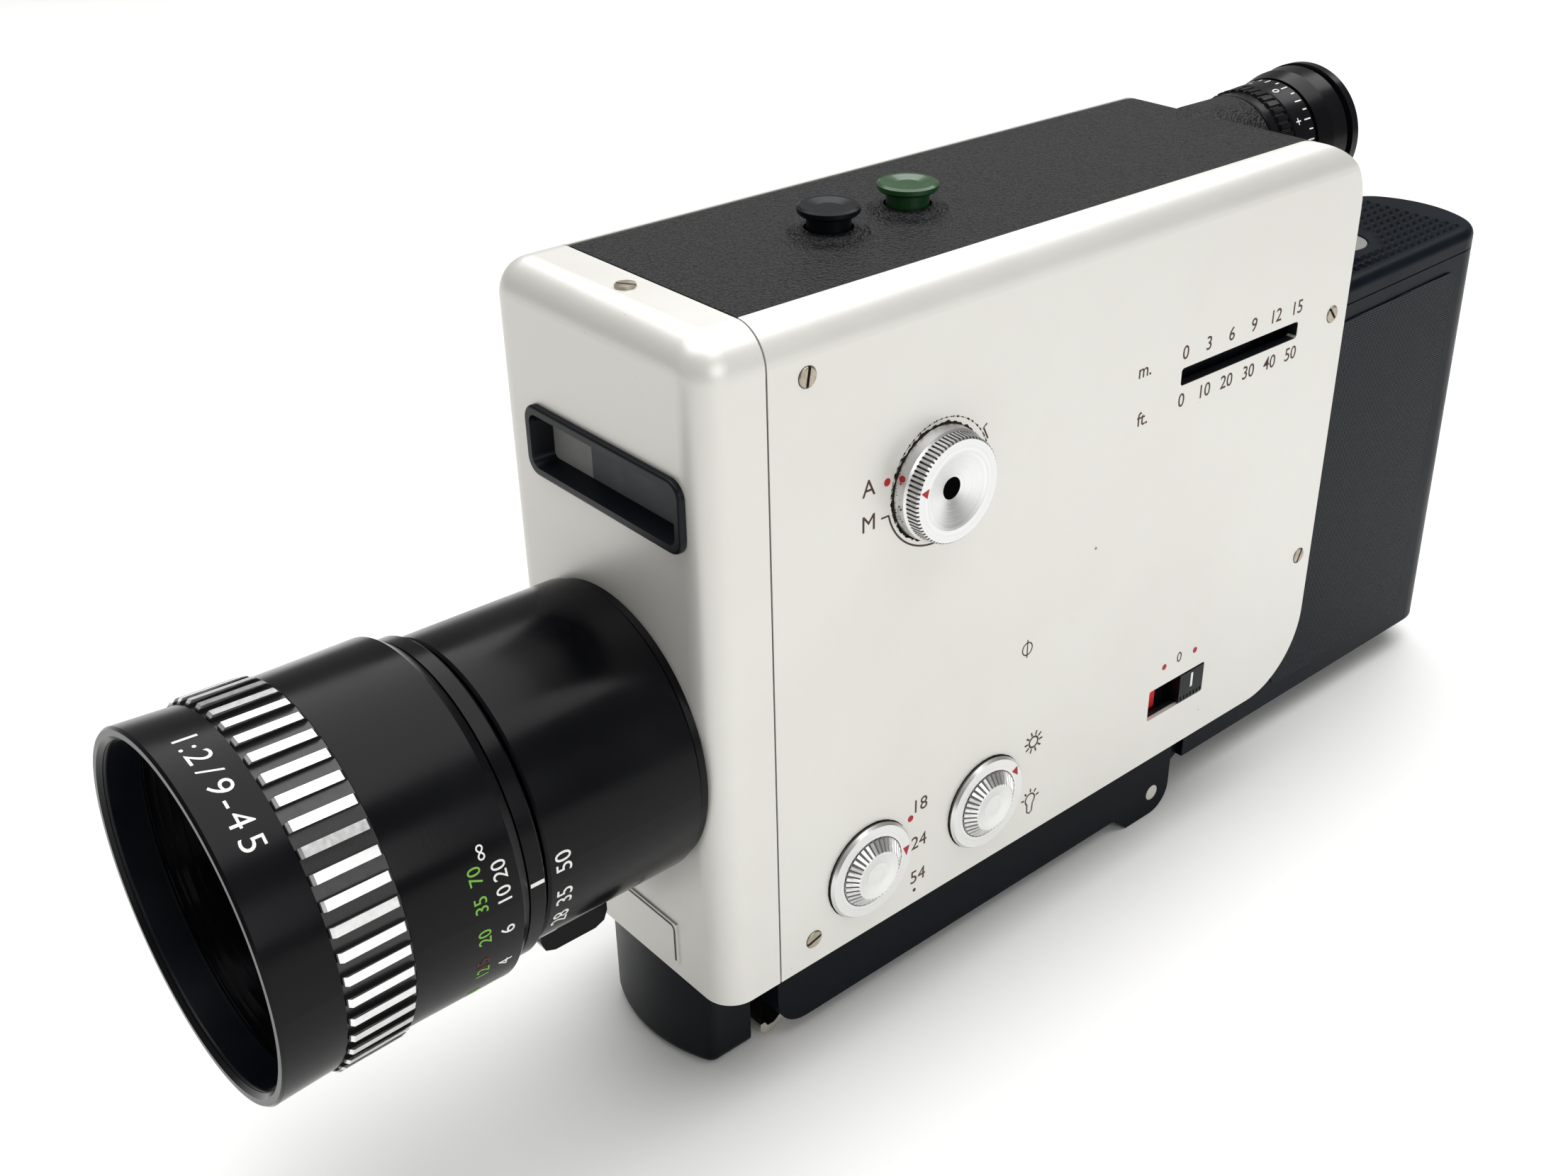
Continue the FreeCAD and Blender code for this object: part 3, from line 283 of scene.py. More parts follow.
def ribbed_grip():
    """Black grooves and bright flat tops, told apart by distance from the lens axis."""
    material, nodes, shader = tree("ribbed_grip")
    where = place(nodes)
    radius = from_axis(nodes, where, at(*LENS), (0, 2))[2]
    crest = limits("focus_grip")[1].x * MM
    bright = ramp(nodes, radius, 0.0, 1.0, crest - RIB_EDGE[0] * MM, crest - RIB_EDGE[1] * MM)
    marks = noise(nodes, where, 1400.0, 3.0)
    metal = blend(nodes, marks, *RIB_TONES)
    nodes.links.new(blend(nodes, bright, RIB_GROOVE, metal), shader.inputs["Base Color"])
    nodes.links.new(bright, shader.inputs["Metallic"])
    nodes.links.new(ramp(nodes, marks, 0.22, 0.38), shader.inputs["Roughness"])
    return material


def black_anodised():
    """Turned black metal: faint rings along the lens and a soft sheen."""
    material, nodes, shader = tree("black_anodised")
    where = place(nodes)
    rings = lines(nodes, coordinates(nodes, where)[1], 2600.0)
    slow = noise(nodes, where, 45.0, 4.0)
    tint = ramp(nodes, slow, 0.0, 1.0, *NOISE_RANGE)
    nodes.links.new(blend(nodes, tint, *ANODISED_TONES), shader.inputs["Base Color"])
    nodes.links.new(ramp(nodes, slow, ANODISED_ROUGH - 0.05, ANODISED_ROUGH + 0.07, *NOISE_RANGE),
                    shader.inputs["Roughness"])
    shader.inputs["Specular IOR Level"].default_value = 0.13
    bump(nodes, shader, rings, 0.12, 0.02)
    return material


def woven_plastic():
    """Moulded cross-hatch of the grip's side panels, its colour painted lighter on the crests and
    darker in the hollows as light and shade.
    """
    material, nodes, shader = tree("woven_plastic")
    waves = 2 * math.pi / (WEAVE_PITCH * MM)
    along, up = (maths(nodes, "ABSOLUTE",
                       maths(nodes, "SINE", maths(nodes, "MULTIPLY", part, waves)))
                 for part in coordinates(nodes, place(nodes))[1:3])
    height = maths(nodes, "MULTIPLY", along, up)
    # painted light and shade: the colour follows the weave's height, darker in the hollows
    nodes.links.new(blend(nodes, height, *WEAVE_TONES), shader.inputs["Base Color"])
    shader.inputs["Specular IOR Level"].default_value = 0.10
    shader.inputs["Roughness"].default_value = 0.42
    bump(nodes, shader, height, 0.75, 0.22)
    return material


def clear_glass(name, colour):
    """Coated glass with a faint violet bloom."""
    material, nodes, shader = tree(name)
    shader.inputs["Base Color"].default_value = (*colour, 1.0)
    shader.inputs["Transmission Weight"].default_value = 1.0
    shader.inputs["Roughness"].default_value = 0.0
    shader.inputs["IOR"].default_value = 1.5
    shader.inputs["Coat Weight"].default_value = 0.3
    shader.inputs["Coat Tint"].default_value = (0.70, 0.68, 1.0, 1.0)
    return material


def flat_ink(name, colour, rough=0.5, specular=0.3):
    return surface(name, colour, tuple(c * 0.9 for c in colour), rough, patch=300.0,
                   specular=specular)


# teeth, inner and outer radius, cosine at a groove's edge, grey of the painted shade in the
# grooves
KNOB_BAND = (72, 7.91, 8.35, 0.25, 0.035)
DIAL_BAND = (36, 4.25, 5.95, 0.45, 0.10)

M = {
    "silver": silver_paint(),
    "wrinkle": wrinkle_paint(),
    "gloss": black_anodised(),
    "satin_black": surface("satin_black", (0.003, 0.004, 0.006), (0.005, 0.006, 0.009),
                           rough=0.34, grain=1800.0, relief=0.12, specular=0.16),
    "trigger": surface("trigger_plastic", (0.001, 0.002, 0.004), (0.002, 0.004, 0.006),
                       rough=0.36, grain=1400.0, relief=0.10, specular=0.12),
    "base": surface("base_paint", (0.001, 0.002, 0.004), (0.003, 0.005, 0.008),
                    rough=0.42, grain=2400.0, relief=0.35, specular=0.06),
    "shell": surface("grip_plastic", (0.0015, 0.003, 0.006), (0.003, 0.006, 0.010),
                     rough=0.38, grain=1500.0, relief=0.25, specular=0.07),
    "weave": woven_plastic(),
    "ribs": ribbed_grip(),
    "knob": turned_metal("turned_knob", (0.74, 0.74, 0.74), 0.30, KNOB, band=KNOB_BAND),
    "speed": turned_metal("turned_speed", (0.78, 0.78, 0.77), 0.30, SPEED, band=DIAL_BAND),
    "filter": turned_metal("turned_filter", (0.78, 0.78, 0.77), 0.30, FILTER, band=DIAL_BAND),
    "bush": turned_metal("turned_bush", (0.80, 0.80, 0.79), 0.28, BUSH, across=(0, 1)),
    "nickel": surface("nickel", (0.66, 0.63, 0.56), (0.74, 0.71, 0.66),
                      rough=0.28, metallic=1.0, relief=0.08),
    "screw": surface("tarnished_nickel", (0.30, 0.26, 0.20), (0.46, 0.42, 0.35),
                     rough=0.36, metallic=1.0, relief=0.15, patch=700.0),
    "steel": surface("steel", (0.50, 0.50, 0.50), (0.60, 0.60, 0.60),
                     rough=0.32, metallic=1.0, relief=0.1),
    "brass": surface("brass", (0.70, 0.50, 0.20), (0.78, 0.60, 0.28),
                     rough=0.30, metallic=1.0, relief=0.1),
    "casting": surface("casting", (0.36, 0.36, 0.36), (0.44, 0.44, 0.43),
                       rough=0.5, metallic=0.8, grain=700.0, relief=0.4, depth=0.15),
    "black": surface("black_plastic", (0.002, 0.003, 0.004), (0.004, 0.005, 0.007),
                     rough=0.32, grain=1500.0, relief=0.1, specular=0.16),
    "green": surface("green_plastic", (0.007, 0.046, 0.009), (0.010, 0.062, 0.013),
                     rough=0.28, relief=0.08, coat=0.2),
    "white": surface("white_plastic", (0.70, 0.69, 0.66), (0.78, 0.77, 0.74),
                     rough=0.4, relief=0.1),
    "cell": surface("cell_tube", (0.20, 0.21, 0.24), (0.26, 0.27, 0.30),
                    rough=0.35, metallic=0.4, relief=0.1),
    "glass": clear_glass("lens_glass", (0.75, 0.80, 0.92)),
    "smoked": clear_glass("smoked_glass", (0.22, 0.24, 0.27)),
    "ink": flat_ink("brown_ink", (0.055, 0.022, 0.018)),
    "red": flat_ink("red_ink", (0.36, 0.012, 0.014)),
    "flag": flat_ink("red_flag", (0.80, 0.035, 0.040)),
    "white_ink": flat_ink("white_ink", (0.80, 0.80, 0.78)),
    "green_ink": flat_ink("green_ink", (0.16, 0.42, 0.05)),
    "dim_red": flat_ink("dim_red_ink", (0.10, 0.006, 0.008)),
    # dark brown: grime on the knob's skirt; painted shade in the gaps round the knob and dials and
    # in the screw slots; the dark line round each dial's centre
    "dirt_and_shade": flat_ink("dirt_and_shade", (0.024, 0.019, 0.014), 0.9, 0.1),
    "grey": flat_ink("grey_panel", (0.26, 0.26, 0.25), 0.6, 0.2),
    "dim_grey": flat_ink("dim_grey_panel", (0.085, 0.092, 0.102), 0.6, 0.2),
    # dark: the badge's printed frame line, and painted shade on the walls inside the side panel's
    # openings
    "dark": flat_ink("dark_panel", (0.010, 0.011, 0.014), 0.35),
    # near black: painted shade in the seam behind the front cover and in the knob's socket
    "shade_black": flat_ink("shade_black", (0.001, 0.001, 0.001), 0.9, 0.02),
}

CAD_LOOK = {
    "silver": ("front_cover", "left_side_panel", "film_door", "badge_plate"),
    "wrinkle": ("centre_frame",),
    "base": ("base_housing",),
    "gloss": ("lens_flange", "zoom_ring", "zoom_lever", "index_ring", "focus_ring",
              "lens_bezel", "eyepiece_tube", "diopter_ring", "eyecup"),
    "satin_black": ("window_frame", "lens_barrel", "shutter_disc", "variator_cell"),
    "trigger": ("release_trigger",),
    "shell": ("handle_shell_left", "handle_shell_right", "grip_end_cap"),
    "ribs": ("focus_grip",),
    "knob": ("exposure_knob",),
    "speed": ("speed_dial", "speed_dial_knob"),
    "filter": ("filter_dial", "filter_dial_knob"),
    "bush": ("tripod_bush",),
    "nickel": ("hinge_leaf", "door_latch", "handle_catch", "pivot_pin"),
    "screw": ("cover_screws",),
    "steel": ("hinge_pin", "film_gate", "drive_motor", "tele_button_spring",
              "wide_button_spring", "trigger_pin"),
    "brass": ("motor_pinion", "battery_contacts"),
    "casting": ("chassis",),
    "black": ("tele_button", "meter_cell", "counter_frame", "counter_pointer", "switch_base",
              "switch_slider"),
    "green": ("wide_button",),
    "white": ("shutter_gear", "take_up_spindle"),
    "cell": ("batteries",),
    "glass": ("front_lens", "variator_lens", "rear_lens", "eyepiece_lens", "finder_prism"),
    "smoked": ("window_glass",),
}
for look, names in CAD_LOOK.items():
    for name in names:
        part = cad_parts[name]
        part.data.materials.clear()
        part.data.materials.append(M[look])


# ---------------------------------------------------------------- mesh helpers

def from_lists(name, points, faces, material, body, slot, smooth=False):
    """Piece from points in millimetres from the datum."""
    mesh = bpy.data.meshes.new(name)
    mesh.from_pydata([at(*p) for p in points], [], faces)
    work = bmesh.new()
    work.from_mesh(mesh)
    bmesh.ops.recalc_face_normals(work, faces=work.faces)
    work.to_mesh(mesh)
    work.free()
    for polygon in mesh.polygons:
        polygon.use_smooth = smooth
    mesh.materials.append(M[material])
    piece = bpy.data.objects.new(name, mesh)
    bpy.context.scene.collection.objects.link(piece)
    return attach(piece, body)


def prism(outline, lay, thickness):
    """Points and faces of a flat shape with a thickness; lay(u, v, w) places a point."""
    count = len(outline)
    points = [lay(u, v, 0.0) for u, v in outline] + [lay(u, v, thickness) for u, v in outline]
    faces = [tuple(range(count))[::-1], tuple(range(count, 2 * count))]
    for k in range(count):
        n = (k + 1) % count
        faces.append((k, n, n + count, k + count))
    return points, faces


def joined(parts):
    """One list of points and one of faces from several."""
    points, faces = [], []
    for more_points, more_faces in parts:
        base = len(points)
        points += more_points
        faces += [tuple(i + base for i in face) for face in more_faces]
    return points, faces


def on_side(x):
    """Lays a drawing at a depth on the side with the dials, u to the rear and v up."""
    return lambda u, v, w: (x + w, u, v)


def round_lens(radius):
    """Lays a drawing round the lens: u is arc length up from the dials' side, v is y."""
    def lay(u, v, w):
        angle = u / radius
        r = radius + w
        return (LENS.x + r * math.cos(angle), v, LENS.z + r * math.sin(angle))
    return lay


def flipped(lay, row):
    """Mirrors a drawing about a row, so that figures round a barrel aren't reversed."""
    return lambda u, v, w: lay(u, 2 * row - v, w)


def rectangle(u0, u1, v0, v1):
    return [(u0, v0), (u1, v0), (u1, v1), (u0, v1)]


def disc(u, v, radius, steps=20):
    return [(u + radius * math.cos(2 * math.pi * k / steps),
             v + radius * math.sin(2 * math.pi * k / steps)) for k in range(steps)]


def stroke(points, width):
    """Outline of an open line of the given width."""
    left, right = [], []
    for k, (u, v) in enumerate(points):
        before = points[max(k - 1, 0)]
        after = points[min(k + 1, len(points) - 1)]
        du, dv = after[0] - before[0], after[1] - before[1]
        size = math.hypot(du, dv)
        nu, nv = -dv / size * width / 2, du / size * width / 2
        left.append((u + nu, v + nv))
        right.append((u - nu, v - nv))
    return left + right[::-1]


def arc(u, v, radius, start, end, steps=24):
    return [(u + radius * math.cos(math.radians(start + (end - start) * k / steps)),
             v + radius * math.sin(math.radians(start + (end - start) * k / steps)))
            for k in range(steps + 1)]


def drawing(name, outlines, lay, material, body, slot, thickness=INK_DEPTH):
    points, faces = joined([prism(outline, lay, thickness) for outline in outlines])
    return from_lists(name, points, faces, material, body, slot)


CAP_HEIGHT = 0.70       # height of a figure, as a share of the font's size
CURVE_STEPS = 4


def figures(name, items, lay, material, body, slot, weight=0.0):
    """Numerals as meshes. items are (text, u, v, height) about each text's middle."""
    points, faces = [], []
    for text, u, v, height in items:
        curve = bpy.data.curves.new(name, "FONT")
        curve.body = text
        curve.size = height / CAP_HEIGHT
        curve.align_x = "CENTER"
        curve.align_y = "CENTER"
        curve.extrude = INK_DEPTH
        curve.offset = weight
        curve.resolution_u = CURVE_STEPS
        holder = bpy.data.objects.new(name + "_text", curve)
        mesh = bpy.data.meshes.new_from_object(holder)
        base = len(points)
        points += [lay(u + vertex.co.x, v + vertex.co.y, vertex.co.z) for vertex in mesh.vertices]
        faces += [tuple(i + base for i in polygon.vertices) for polygon in mesh.polygons]
        bpy.data.objects.remove(holder)
        bpy.data.meshes.remove(mesh)
        bpy.data.curves.remove(curve)
    return from_lists(name, points, faces, material, body, slot)


LATHE_STEPS = 160


def lathe(name, profile, material, body, slot):
    """Closed ring about the lens axis from (radius, y) points."""
    points, faces = [], []
    count = len(profile)
    for s in range(LATHE_STEPS):
        angle = 2 * math.pi * s / LATHE_STEPS
        points += [(LENS.x + r * math.cos(angle), y, LENS.z + r * math.sin(angle))
                   for r, y in profile]
        t = (s + 1) % LATHE_STEPS
        for k in range(count):
            n = (k + 1) % count
            faces.append((s * count + k, s * count + n, t * count + n, t * count + k))
    return from_lists(name, points, faces, material, body, slot, True)


# ---------------------------------------------------------------- side panel marks

side = on_side(SIDE_X + LIFT)

COUNTER_Y = 98.3                    # first figure of the film counter
METRE_STEP, METRE_Z = 6.06, 103.6
FEET_STEP, FEET_Z = 6.0, 95.2
COUNTER_HEIGHT = 2.4
counter_metres = [(text, COUNTER_Y + METRE_STEP * k, METRE_Z, COUNTER_HEIGHT)
                  for k, text in enumerate(("0", "3", "6", "9", "12", "15"))]
counter_feet = [(text, COUNTER_Y + FEET_STEP * k, FEET_Z, COUNTER_HEIGHT)
                for k, text in enumerate(("0", "10", "20", "30", "40", "50"))]
units = [("m.", 88.1, 103.4, COUNTER_HEIGHT), ("ft.", 88.5, 94.9, COUNTER_HEIGHT)]
figures("counter_figures", counter_metres + counter_feet + units, side, "ink", "body",
        "silver_paint", weight=0.015)

# film speeds, the slide switch's middle position and the exposure knob's two modes
DIAL_MARKS = [("18", 40.2, 42.1, 2.5), ("24", 40.2, 34.8, 2.5), ("54", 40.1, 27.8, 2.5),
              ("0", 105.7, 42.4, 2.1), ("A", 28.6, 102.4, 2.6), ("M", 28.6, 96.9, 2.6)]
figures("dial_figures", DIAL_MARKS, side, "ink", "body", "silver_paint", weight=0.004)
RED_DOTS = ((32.1, 102.3, 0.62), (38.2, 40.4, 0.6), (101.5, 42.1, 0.6), (110.3, 42.1, 0.6))
drawing("red_dots", [disc(*dot) for dot in RED_DOTS], side, "red", "body", "silver_paint")

FINE, LINE, HEAVY = 0.24, 0.30, 0.34        # widths of the printed lines
INDEX_HALF = 0.3                            # half width of the white index lines
MODE_TICK = [(31.0, 96.9), (32.5, 96.9)]
MODE_HOOK = [(52.3, 102.8), (51.3, 104.8), (52.0, 105.3)]
MODE_ARC = arc(KNOB.y, KNOB.z, 9.9, 193, 272)
SPEED_SPECK = disc(39.4, 25.2, 0.35, 12)
drawing("knob_index", [stroke(MODE_TICK, 0.28), stroke(MODE_ARC, LINE), stroke(MODE_HOOK, LINE),
                       SPEED_SPECK],
        side, "ink", "body", "silver_paint")

FILM_Y, FILM_Z, FILM_TAIL = 63.9, 61.6, 1.7
film_mark = [stroke(arc(FILM_Y, FILM_Z, 1.15, 0, 360), FINE),
             stroke([(FILM_Y, FILM_Z - FILM_TAIL), (FILM_Y, FILM_Z + FILM_TAIL)], FINE)]
drawing("film_plane_mark", film_mark, side, "ink", "body", "silver_paint")

LIGHTS_Y, SUN_Z, LAMP_Z = 66.9, 41.9, 29.9


def rays(z, inner, outer, degrees):
    """Short lines round a light symbol."""
    return [stroke([(LIGHTS_Y + r * math.cos(a), z + r * math.sin(a)) for r in (inner, outer)],
                   HEAVY)
            for a in map(math.radians, degrees)]


sun = [stroke(arc(LIGHTS_Y, SUN_Z, 1.05, 0, 360), 0.36)]
sun += rays(SUN_Z, 1.35, 2.2, range(0, 360, 36))
LAMP_BASE = ((-0.7, -0.9), (-0.6, -2.6), (0.0, -3.0), (0.6, -2.6), (0.7, -0.9))
lamp = [stroke(arc(LIGHTS_Y, LAMP_Z, 1.15, -50, 230), LINE),
        stroke([(LIGHTS_Y + y, LAMP_Z + z) for y, z in LAMP_BASE], LINE)]
lamp += rays(LAMP_Z, 1.5, 2.2, range(10, 200, 40))
drawing("light_symbols", sun + lamp, side, "ink", "body", "silver_paint")

# ---------------------------------------------------------------- grime and shadows

# the golden angle, and numbers whose multiples spread evenly between whole numbers
GOLDEN_ANGLE = 2.399963
GOLDEN, PLASTIC, PLASTIC_SQUARED = 0.6180339, 0.7548777, 0.5698403
RING_STEPS = 220
# inner radius, outer radius and how far the outer edge wanders
KNOB_GRIME_AND_SHADE = (8.3, 9.16, 0.16)
DIAL_GAP_SHADE = (8.2, 8.62, 0.03)
SPECKS = 420
SPECK_FROM, SPECK_TO = 15, 290      # degrees about the knob
SMUTS = 90


def spread(k, number):
    """Even stand-in for a random draw between 0 and 1."""
    return (k * number) % 1.0


def ragged_ring(hub, inner, outer, rough):
    """Thin dark ring whose outer edge wanders, as outline quads."""
    edge = []
    for k in range(RING_STEPS + 1):
        b = 2 * math.pi * k / RING_STEPS
        wander = math.sin(7 * b + 1.0) * math.sin(17 * b) + 0.6 * math.sin(41 * b + 2.0)
        edge.append((b, outer + rough * wander))
    return [[(hub.y + r * math.cos(b), hub.z + r * math.sin(b))
             for b, r in ((b0, inner), (b0, r0), (b1, r1), (b1, inner))]
            for (b0, r0), (b1, r1) in zip(edge, edge[1:])]


# dark ragged ring round the knob: painted shade in the gap at its skirt, and grime; grime specks
# round it, thickest at the skirt and absent at the upper right
shade_ring_and_specks = ragged_ring(KNOB, *KNOB_GRIME_AND_SHADE)
for k in range(SPECKS):
    a = k * GOLDEN_ANGLE
    r = 9.0 + 1.7 * spread(k, GOLDEN) ** 3
    if SPECK_FROM < math.degrees(a) % 360 < SPECK_TO:
        shade_ring_and_specks.append(disc(KNOB.y + r * math.cos(a), KNOB.z + r * math.sin(a),
                           0.05 + 0.16 * spread(k, PLASTIC) ** 4, 6))
drawing("knob_grime_and_shade", shade_ring_and_specks, side, "dirt_and_shade", "body", "silver_paint", 0.01)
# painted shade in the gap round each dial
drawing("dial_gap_shade", ragged_ring(SPEED, *DIAL_GAP_SHADE) + ragged_ring(FILTER, *DIAL_GAP_SHADE), side,
        "dirt_and_shade", "body", "silver_paint", 0.01)

# shadow in the seam behind the front cover
SEAM_LOW, SEAM_HIGH, SEAM_DEPTH = 24.0, 124.0, 0.7
seam = (COVER[1].y - DATUM.y) / MM
drawing("cover_seam", [rectangle(seam + 0.03, seam + 0.27, SEAM_LOW, SEAM_HIGH)],
        on_side(SIDE_X - SEAM_DEPTH), "shade_black", "body", "black_satin", 0.4)

# shadows in the screw slots, each turned further than the one before
SCREWS = ((17.6, 122.3), (17.6, 27.4), (139.8, 99.6), (140.3, 50.8))
SLOT_REACH, SLOT_WIDTH, SLOT_DEPTH = 1.42, 0.44, 0.145
slots = []
for number, (y, z) in enumerate(SCREWS):
    a = math.radians(80 - 65 * number)
    dy, dz = SLOT_REACH * math.cos(a), SLOT_REACH * math.sin(a)
    slots.append(stroke([(y - dy, z - dz), (y + dy, z + dz)], SLOT_WIDTH))
drawing("screw_slots", slots, on_side(SIDE_X - SLOT_DEPTH), "dirt_and_shade", "body", "nickel")

# ---------------------------------------------------------------- knob and dials

KNOB_FACE = limits("exposure_knob")[1].x
SKIRT_R = 8.82
DEGREES_PER_MM = 6.5        # along the skirt
SOCKET_R, SOCKET_DEPTH = 1.72, 2.18
DIAL_LINE_R = 6.12


def pointer(hub, radius, degrees, width, length, outwards):
    """Triangle at an angle round a hub, pointing outwards or clockwise."""
    a = math.radians(degrees)
    middle = (hub.y + radius * math.cos(a), hub.z + radius * math.sin(a))
    ahead = (math.cos(a), math.sin(a)) if outwards else (math.sin(a), -math.cos(a))
    across = (-ahead[1], ahead[0])
    return [(middle[0] + u * ahead[0] + v * across[0], middle[1] + u * ahead[1] + v * across[1])
            for u, v in ((length / 2, 0), (-length / 2, width / 2), (-length / 2, -width / 2))]


def on_skirt(u, v, w):
    """Round the knob's skirt: u degrees about its axis, v along X from the panel."""
    a = math.radians(u)
    radius = SKIRT_R + w
    return (SIDE_X + v, KNOB.y + radius * math.cos(a), KNOB.z + radius * math.sin(a))


drawing("knob_pointer",
        [pointer(KNOB, radius=7.0, degrees=165, width=1.5, length=1.4, outwards=True)],
        on_side(KNOB_FACE + LIFT), "red", "exposure_knob", "bright_alu")
DOT_DEGREES, DOT_X = 157, 1.0
drawing("knob_dot",
        [[(DOT_DEGREES + u * DEGREES_PER_MM, DOT_X + v) for u, v in disc(0, 0, 0.5, 14)]],
        on_skirt, "red", "exposure_knob", "bright_alu", 0.03)
smuts = []
for k in range(SMUTS):
    u = 150 + 130 * spread(k, GOLDEN)
    v = 0.3 + 1.2 * spread(k, PLASTIC) ** 2
    size = 0.04 + 0.13 * spread(k, PLASTIC_SQUARED) ** 3
    smuts.append([(u + du * DEGREES_PER_MM, v + dv) for du, dv in disc(0, 0, size, 6)])
drawing("knob_smuts", smuts, on_skirt, "dirt_and_shade", "exposure_knob", "bright_alu")
# painted shade: a black disc at the bottom of the knob's socket
drawing("knob_socket", [disc(KNOB.y, KNOB.z, SOCKET_R, 32)], on_side(KNOB_FACE - SOCKET_DEPTH),
        "shade_black", "exposure_knob", "black_plastic", 0.7)

for name, hub, degrees in (("speed_dial", SPEED, 2), ("filter_dial", FILTER, 28)):
    level = on_side(limits(name)[1].x + LIFT)
    drawing(name + "_pointer",
            [pointer(hub, radius=7.25, degrees=degrees, width=1.45, length=1.8, outwards=False)],
            level, "red", name, "bright_alu")
    drawing(name + "_line", [stroke(arc(hub.y, hub.z, DIAL_LINE_R, 0, 360, 72), 0.14)], level,
            "dirt_and_shade", name, "bright_alu", 0.01)

# ---------------------------------------------------------------- slide switch, counter

# the linings below are painted shade on the walls inside the side panel's openings
SHADE_LINING_WALL = 0.04
SHADE_LINING_X = SIDE_X - 1.8      # inner end of the liners
TRAY_WALL = 1.5
TRAY_DEPTH = 1.49
FLAG_START, FLAG_END, FLAG_MARGIN = 1.7, 7.3, 0.9      # from the tray's edges
COUNTER_SLOT = (97.7, 129.5, 97.9, 101.0)
tray = limits("switch_base")
slider = limits("switch_slider")


def shade_lining(name, y0, y1, z0, z1, outer_x):
    """Dark walls just inside an opening of the side panel: painted shade on the opening's walls.
    """
    walls = [rectangle(y0, y1, z0, z0 + SHADE_LINING_WALL), rectangle(y0, y1, z1 - SHADE_LINING_WALL, z1),
             rectangle(y0, y0 + SHADE_LINING_WALL, z0, z1), rectangle(y1 - SHADE_LINING_WALL, y1, z0, z1)]
    drawing(name, walls, on_side(SHADE_LINING_X), "dark", "body", "black_plastic", outer_x - SHADE_LINING_X)


drawing("switch_red_flag", [rectangle(tray[0].y + FLAG_START, tray[0].y + FLAG_END,
                                      tray[0].z + FLAG_MARGIN, tray[1].z - FLAG_MARGIN)],
        on_side(tray[1].x - TRAY_DEPTH), "flag", "body", "black_plastic", 0.2)
# painted shade on the walls inside the switch's and the counter's openings
shade_lining("switch_shade_lining", tray[0].y + TRAY_WALL, tray[1].y - TRAY_WALL,
      tray[0].z + TRAY_WALL, tray[1].z - TRAY_WALL, SIDE_X - 0.8)
shade_lining("counter_shade_lining", *COUNTER_SLOT, SIDE_X - 0.06)
middle = (slider[0].y + slider[1].y) / 2
drawing("switch_line", [rectangle(middle - INDEX_HALF, middle + INDEX_HALF,
                                  slider[0].z + 2.2, slider[1].z - 0.6)],
        on_side(slider[1].x + LIFT), "white_ink", "mode_switch", "black_plastic")

# ---------------------------------------------------------------- lens marks

FOCUS_R = limits("focus_ring")[1].x
ZOOM_R = 23.3           # the zoom ring's barrel, under its figures
# text and angle in degrees up from the dials' side
FOCUS_METRES = (("20", 13.0), ("10", 4.6), ("6", -8.3), ("4", -24.0), ("3", -40.0), ("2.5", -58.0),
                ("2", -80.0))
FOCUS_FEET = (("70", 14.5), ("35", 5.0), ("20", -7.0), ("12", -24.0), ("10", -40.0),
              ("8", -58.0))
ZOOMS = (("50", 1.5), ("35", -14.0), ("28", -27.0), ("20", -44.0), ("14", -62.0), ("10", -82.0))
METRES_ROW, FEET_ROW, MACRO_ROW, ZOOM_ROW = -35.0, -38.4, -38.6, -24.6


def along(marks, radius, row, height):
    """Items for figures() in a row round a barrel."""
    return [(text, math.radians(angle) * radius, row, height) for text, angle in marks]


barrel = round_lens(FOCUS_R - 0.01)
figures("focus_figures",
        along(FOCUS_METRES, FOCUS_R, METRES_ROW, 2.1)
        + along((("∞", 20.5),), FOCUS_R, METRES_ROW + 1.9, 1.8),
        flipped(barrel, METRES_ROW), "white_ink", "focus_ring", "black_gloss")
figures("focus_figures_feet", along(FOCUS_FEET, FOCUS_R, FEET_ROW, 1.9),
        flipped(barrel, FEET_ROW), "green_ink", "focus_ring", "black_gloss")
figures("focus_figures_macro", along((("15", -19.0),), FOCUS_R, MACRO_ROW, 1.9),
        flipped(barrel, MACRO_ROW), "dim_red", "focus_ring", "black_gloss")
figures("zoom_figures", along(ZOOMS, ZOOM_R, ZOOM_ROW, 2.5),
        flipped(round_lens(ZOOM_R + 0.01), ZOOM_ROW), "white_ink", "zoom_ring", "black_gloss")
drawing("lens_index", [rectangle(-INDEX_HALF, INDEX_HALF, -30.5, -28.4)],
        round_lens(limits("index_ring")[1].x + LIFT), "white_ink", "body", "black_gloss", 0.03)

# the bezel's outer cone: radius and y at its back and at its front
RIM_BACK_R, RIM_BACK_Y = 25.8, -58.15
RIM_FRONT_R, RIM_FRONT_Y = 26.3, -66.6
RIM_R = 26.0        # mean radius, for arc lengths
RIM_ROW = -62.3
# text and angle in degrees from the dials' side towards the top
RIM_TEXT = (("1", 88), (":", 83.5), ("2", 79), ("/", 73), ("9", 67), ("-", 61.5), ("4", 56),
            ("5", 49))


def on_rim(u, v, w):
    """Round the bezel, reading from the top down the side of the dials."""
    angle = -u / RIM_R
    slope = (RIM_FRONT_R - RIM_BACK_R) / (RIM_BACK_Y - RIM_FRONT_Y)
    r = RIM_BACK_R + slope * (RIM_BACK_Y - v) + w + 0.02
    return (LENS.x + r * math.cos(angle), v, LENS.z + r * math.sin(angle))


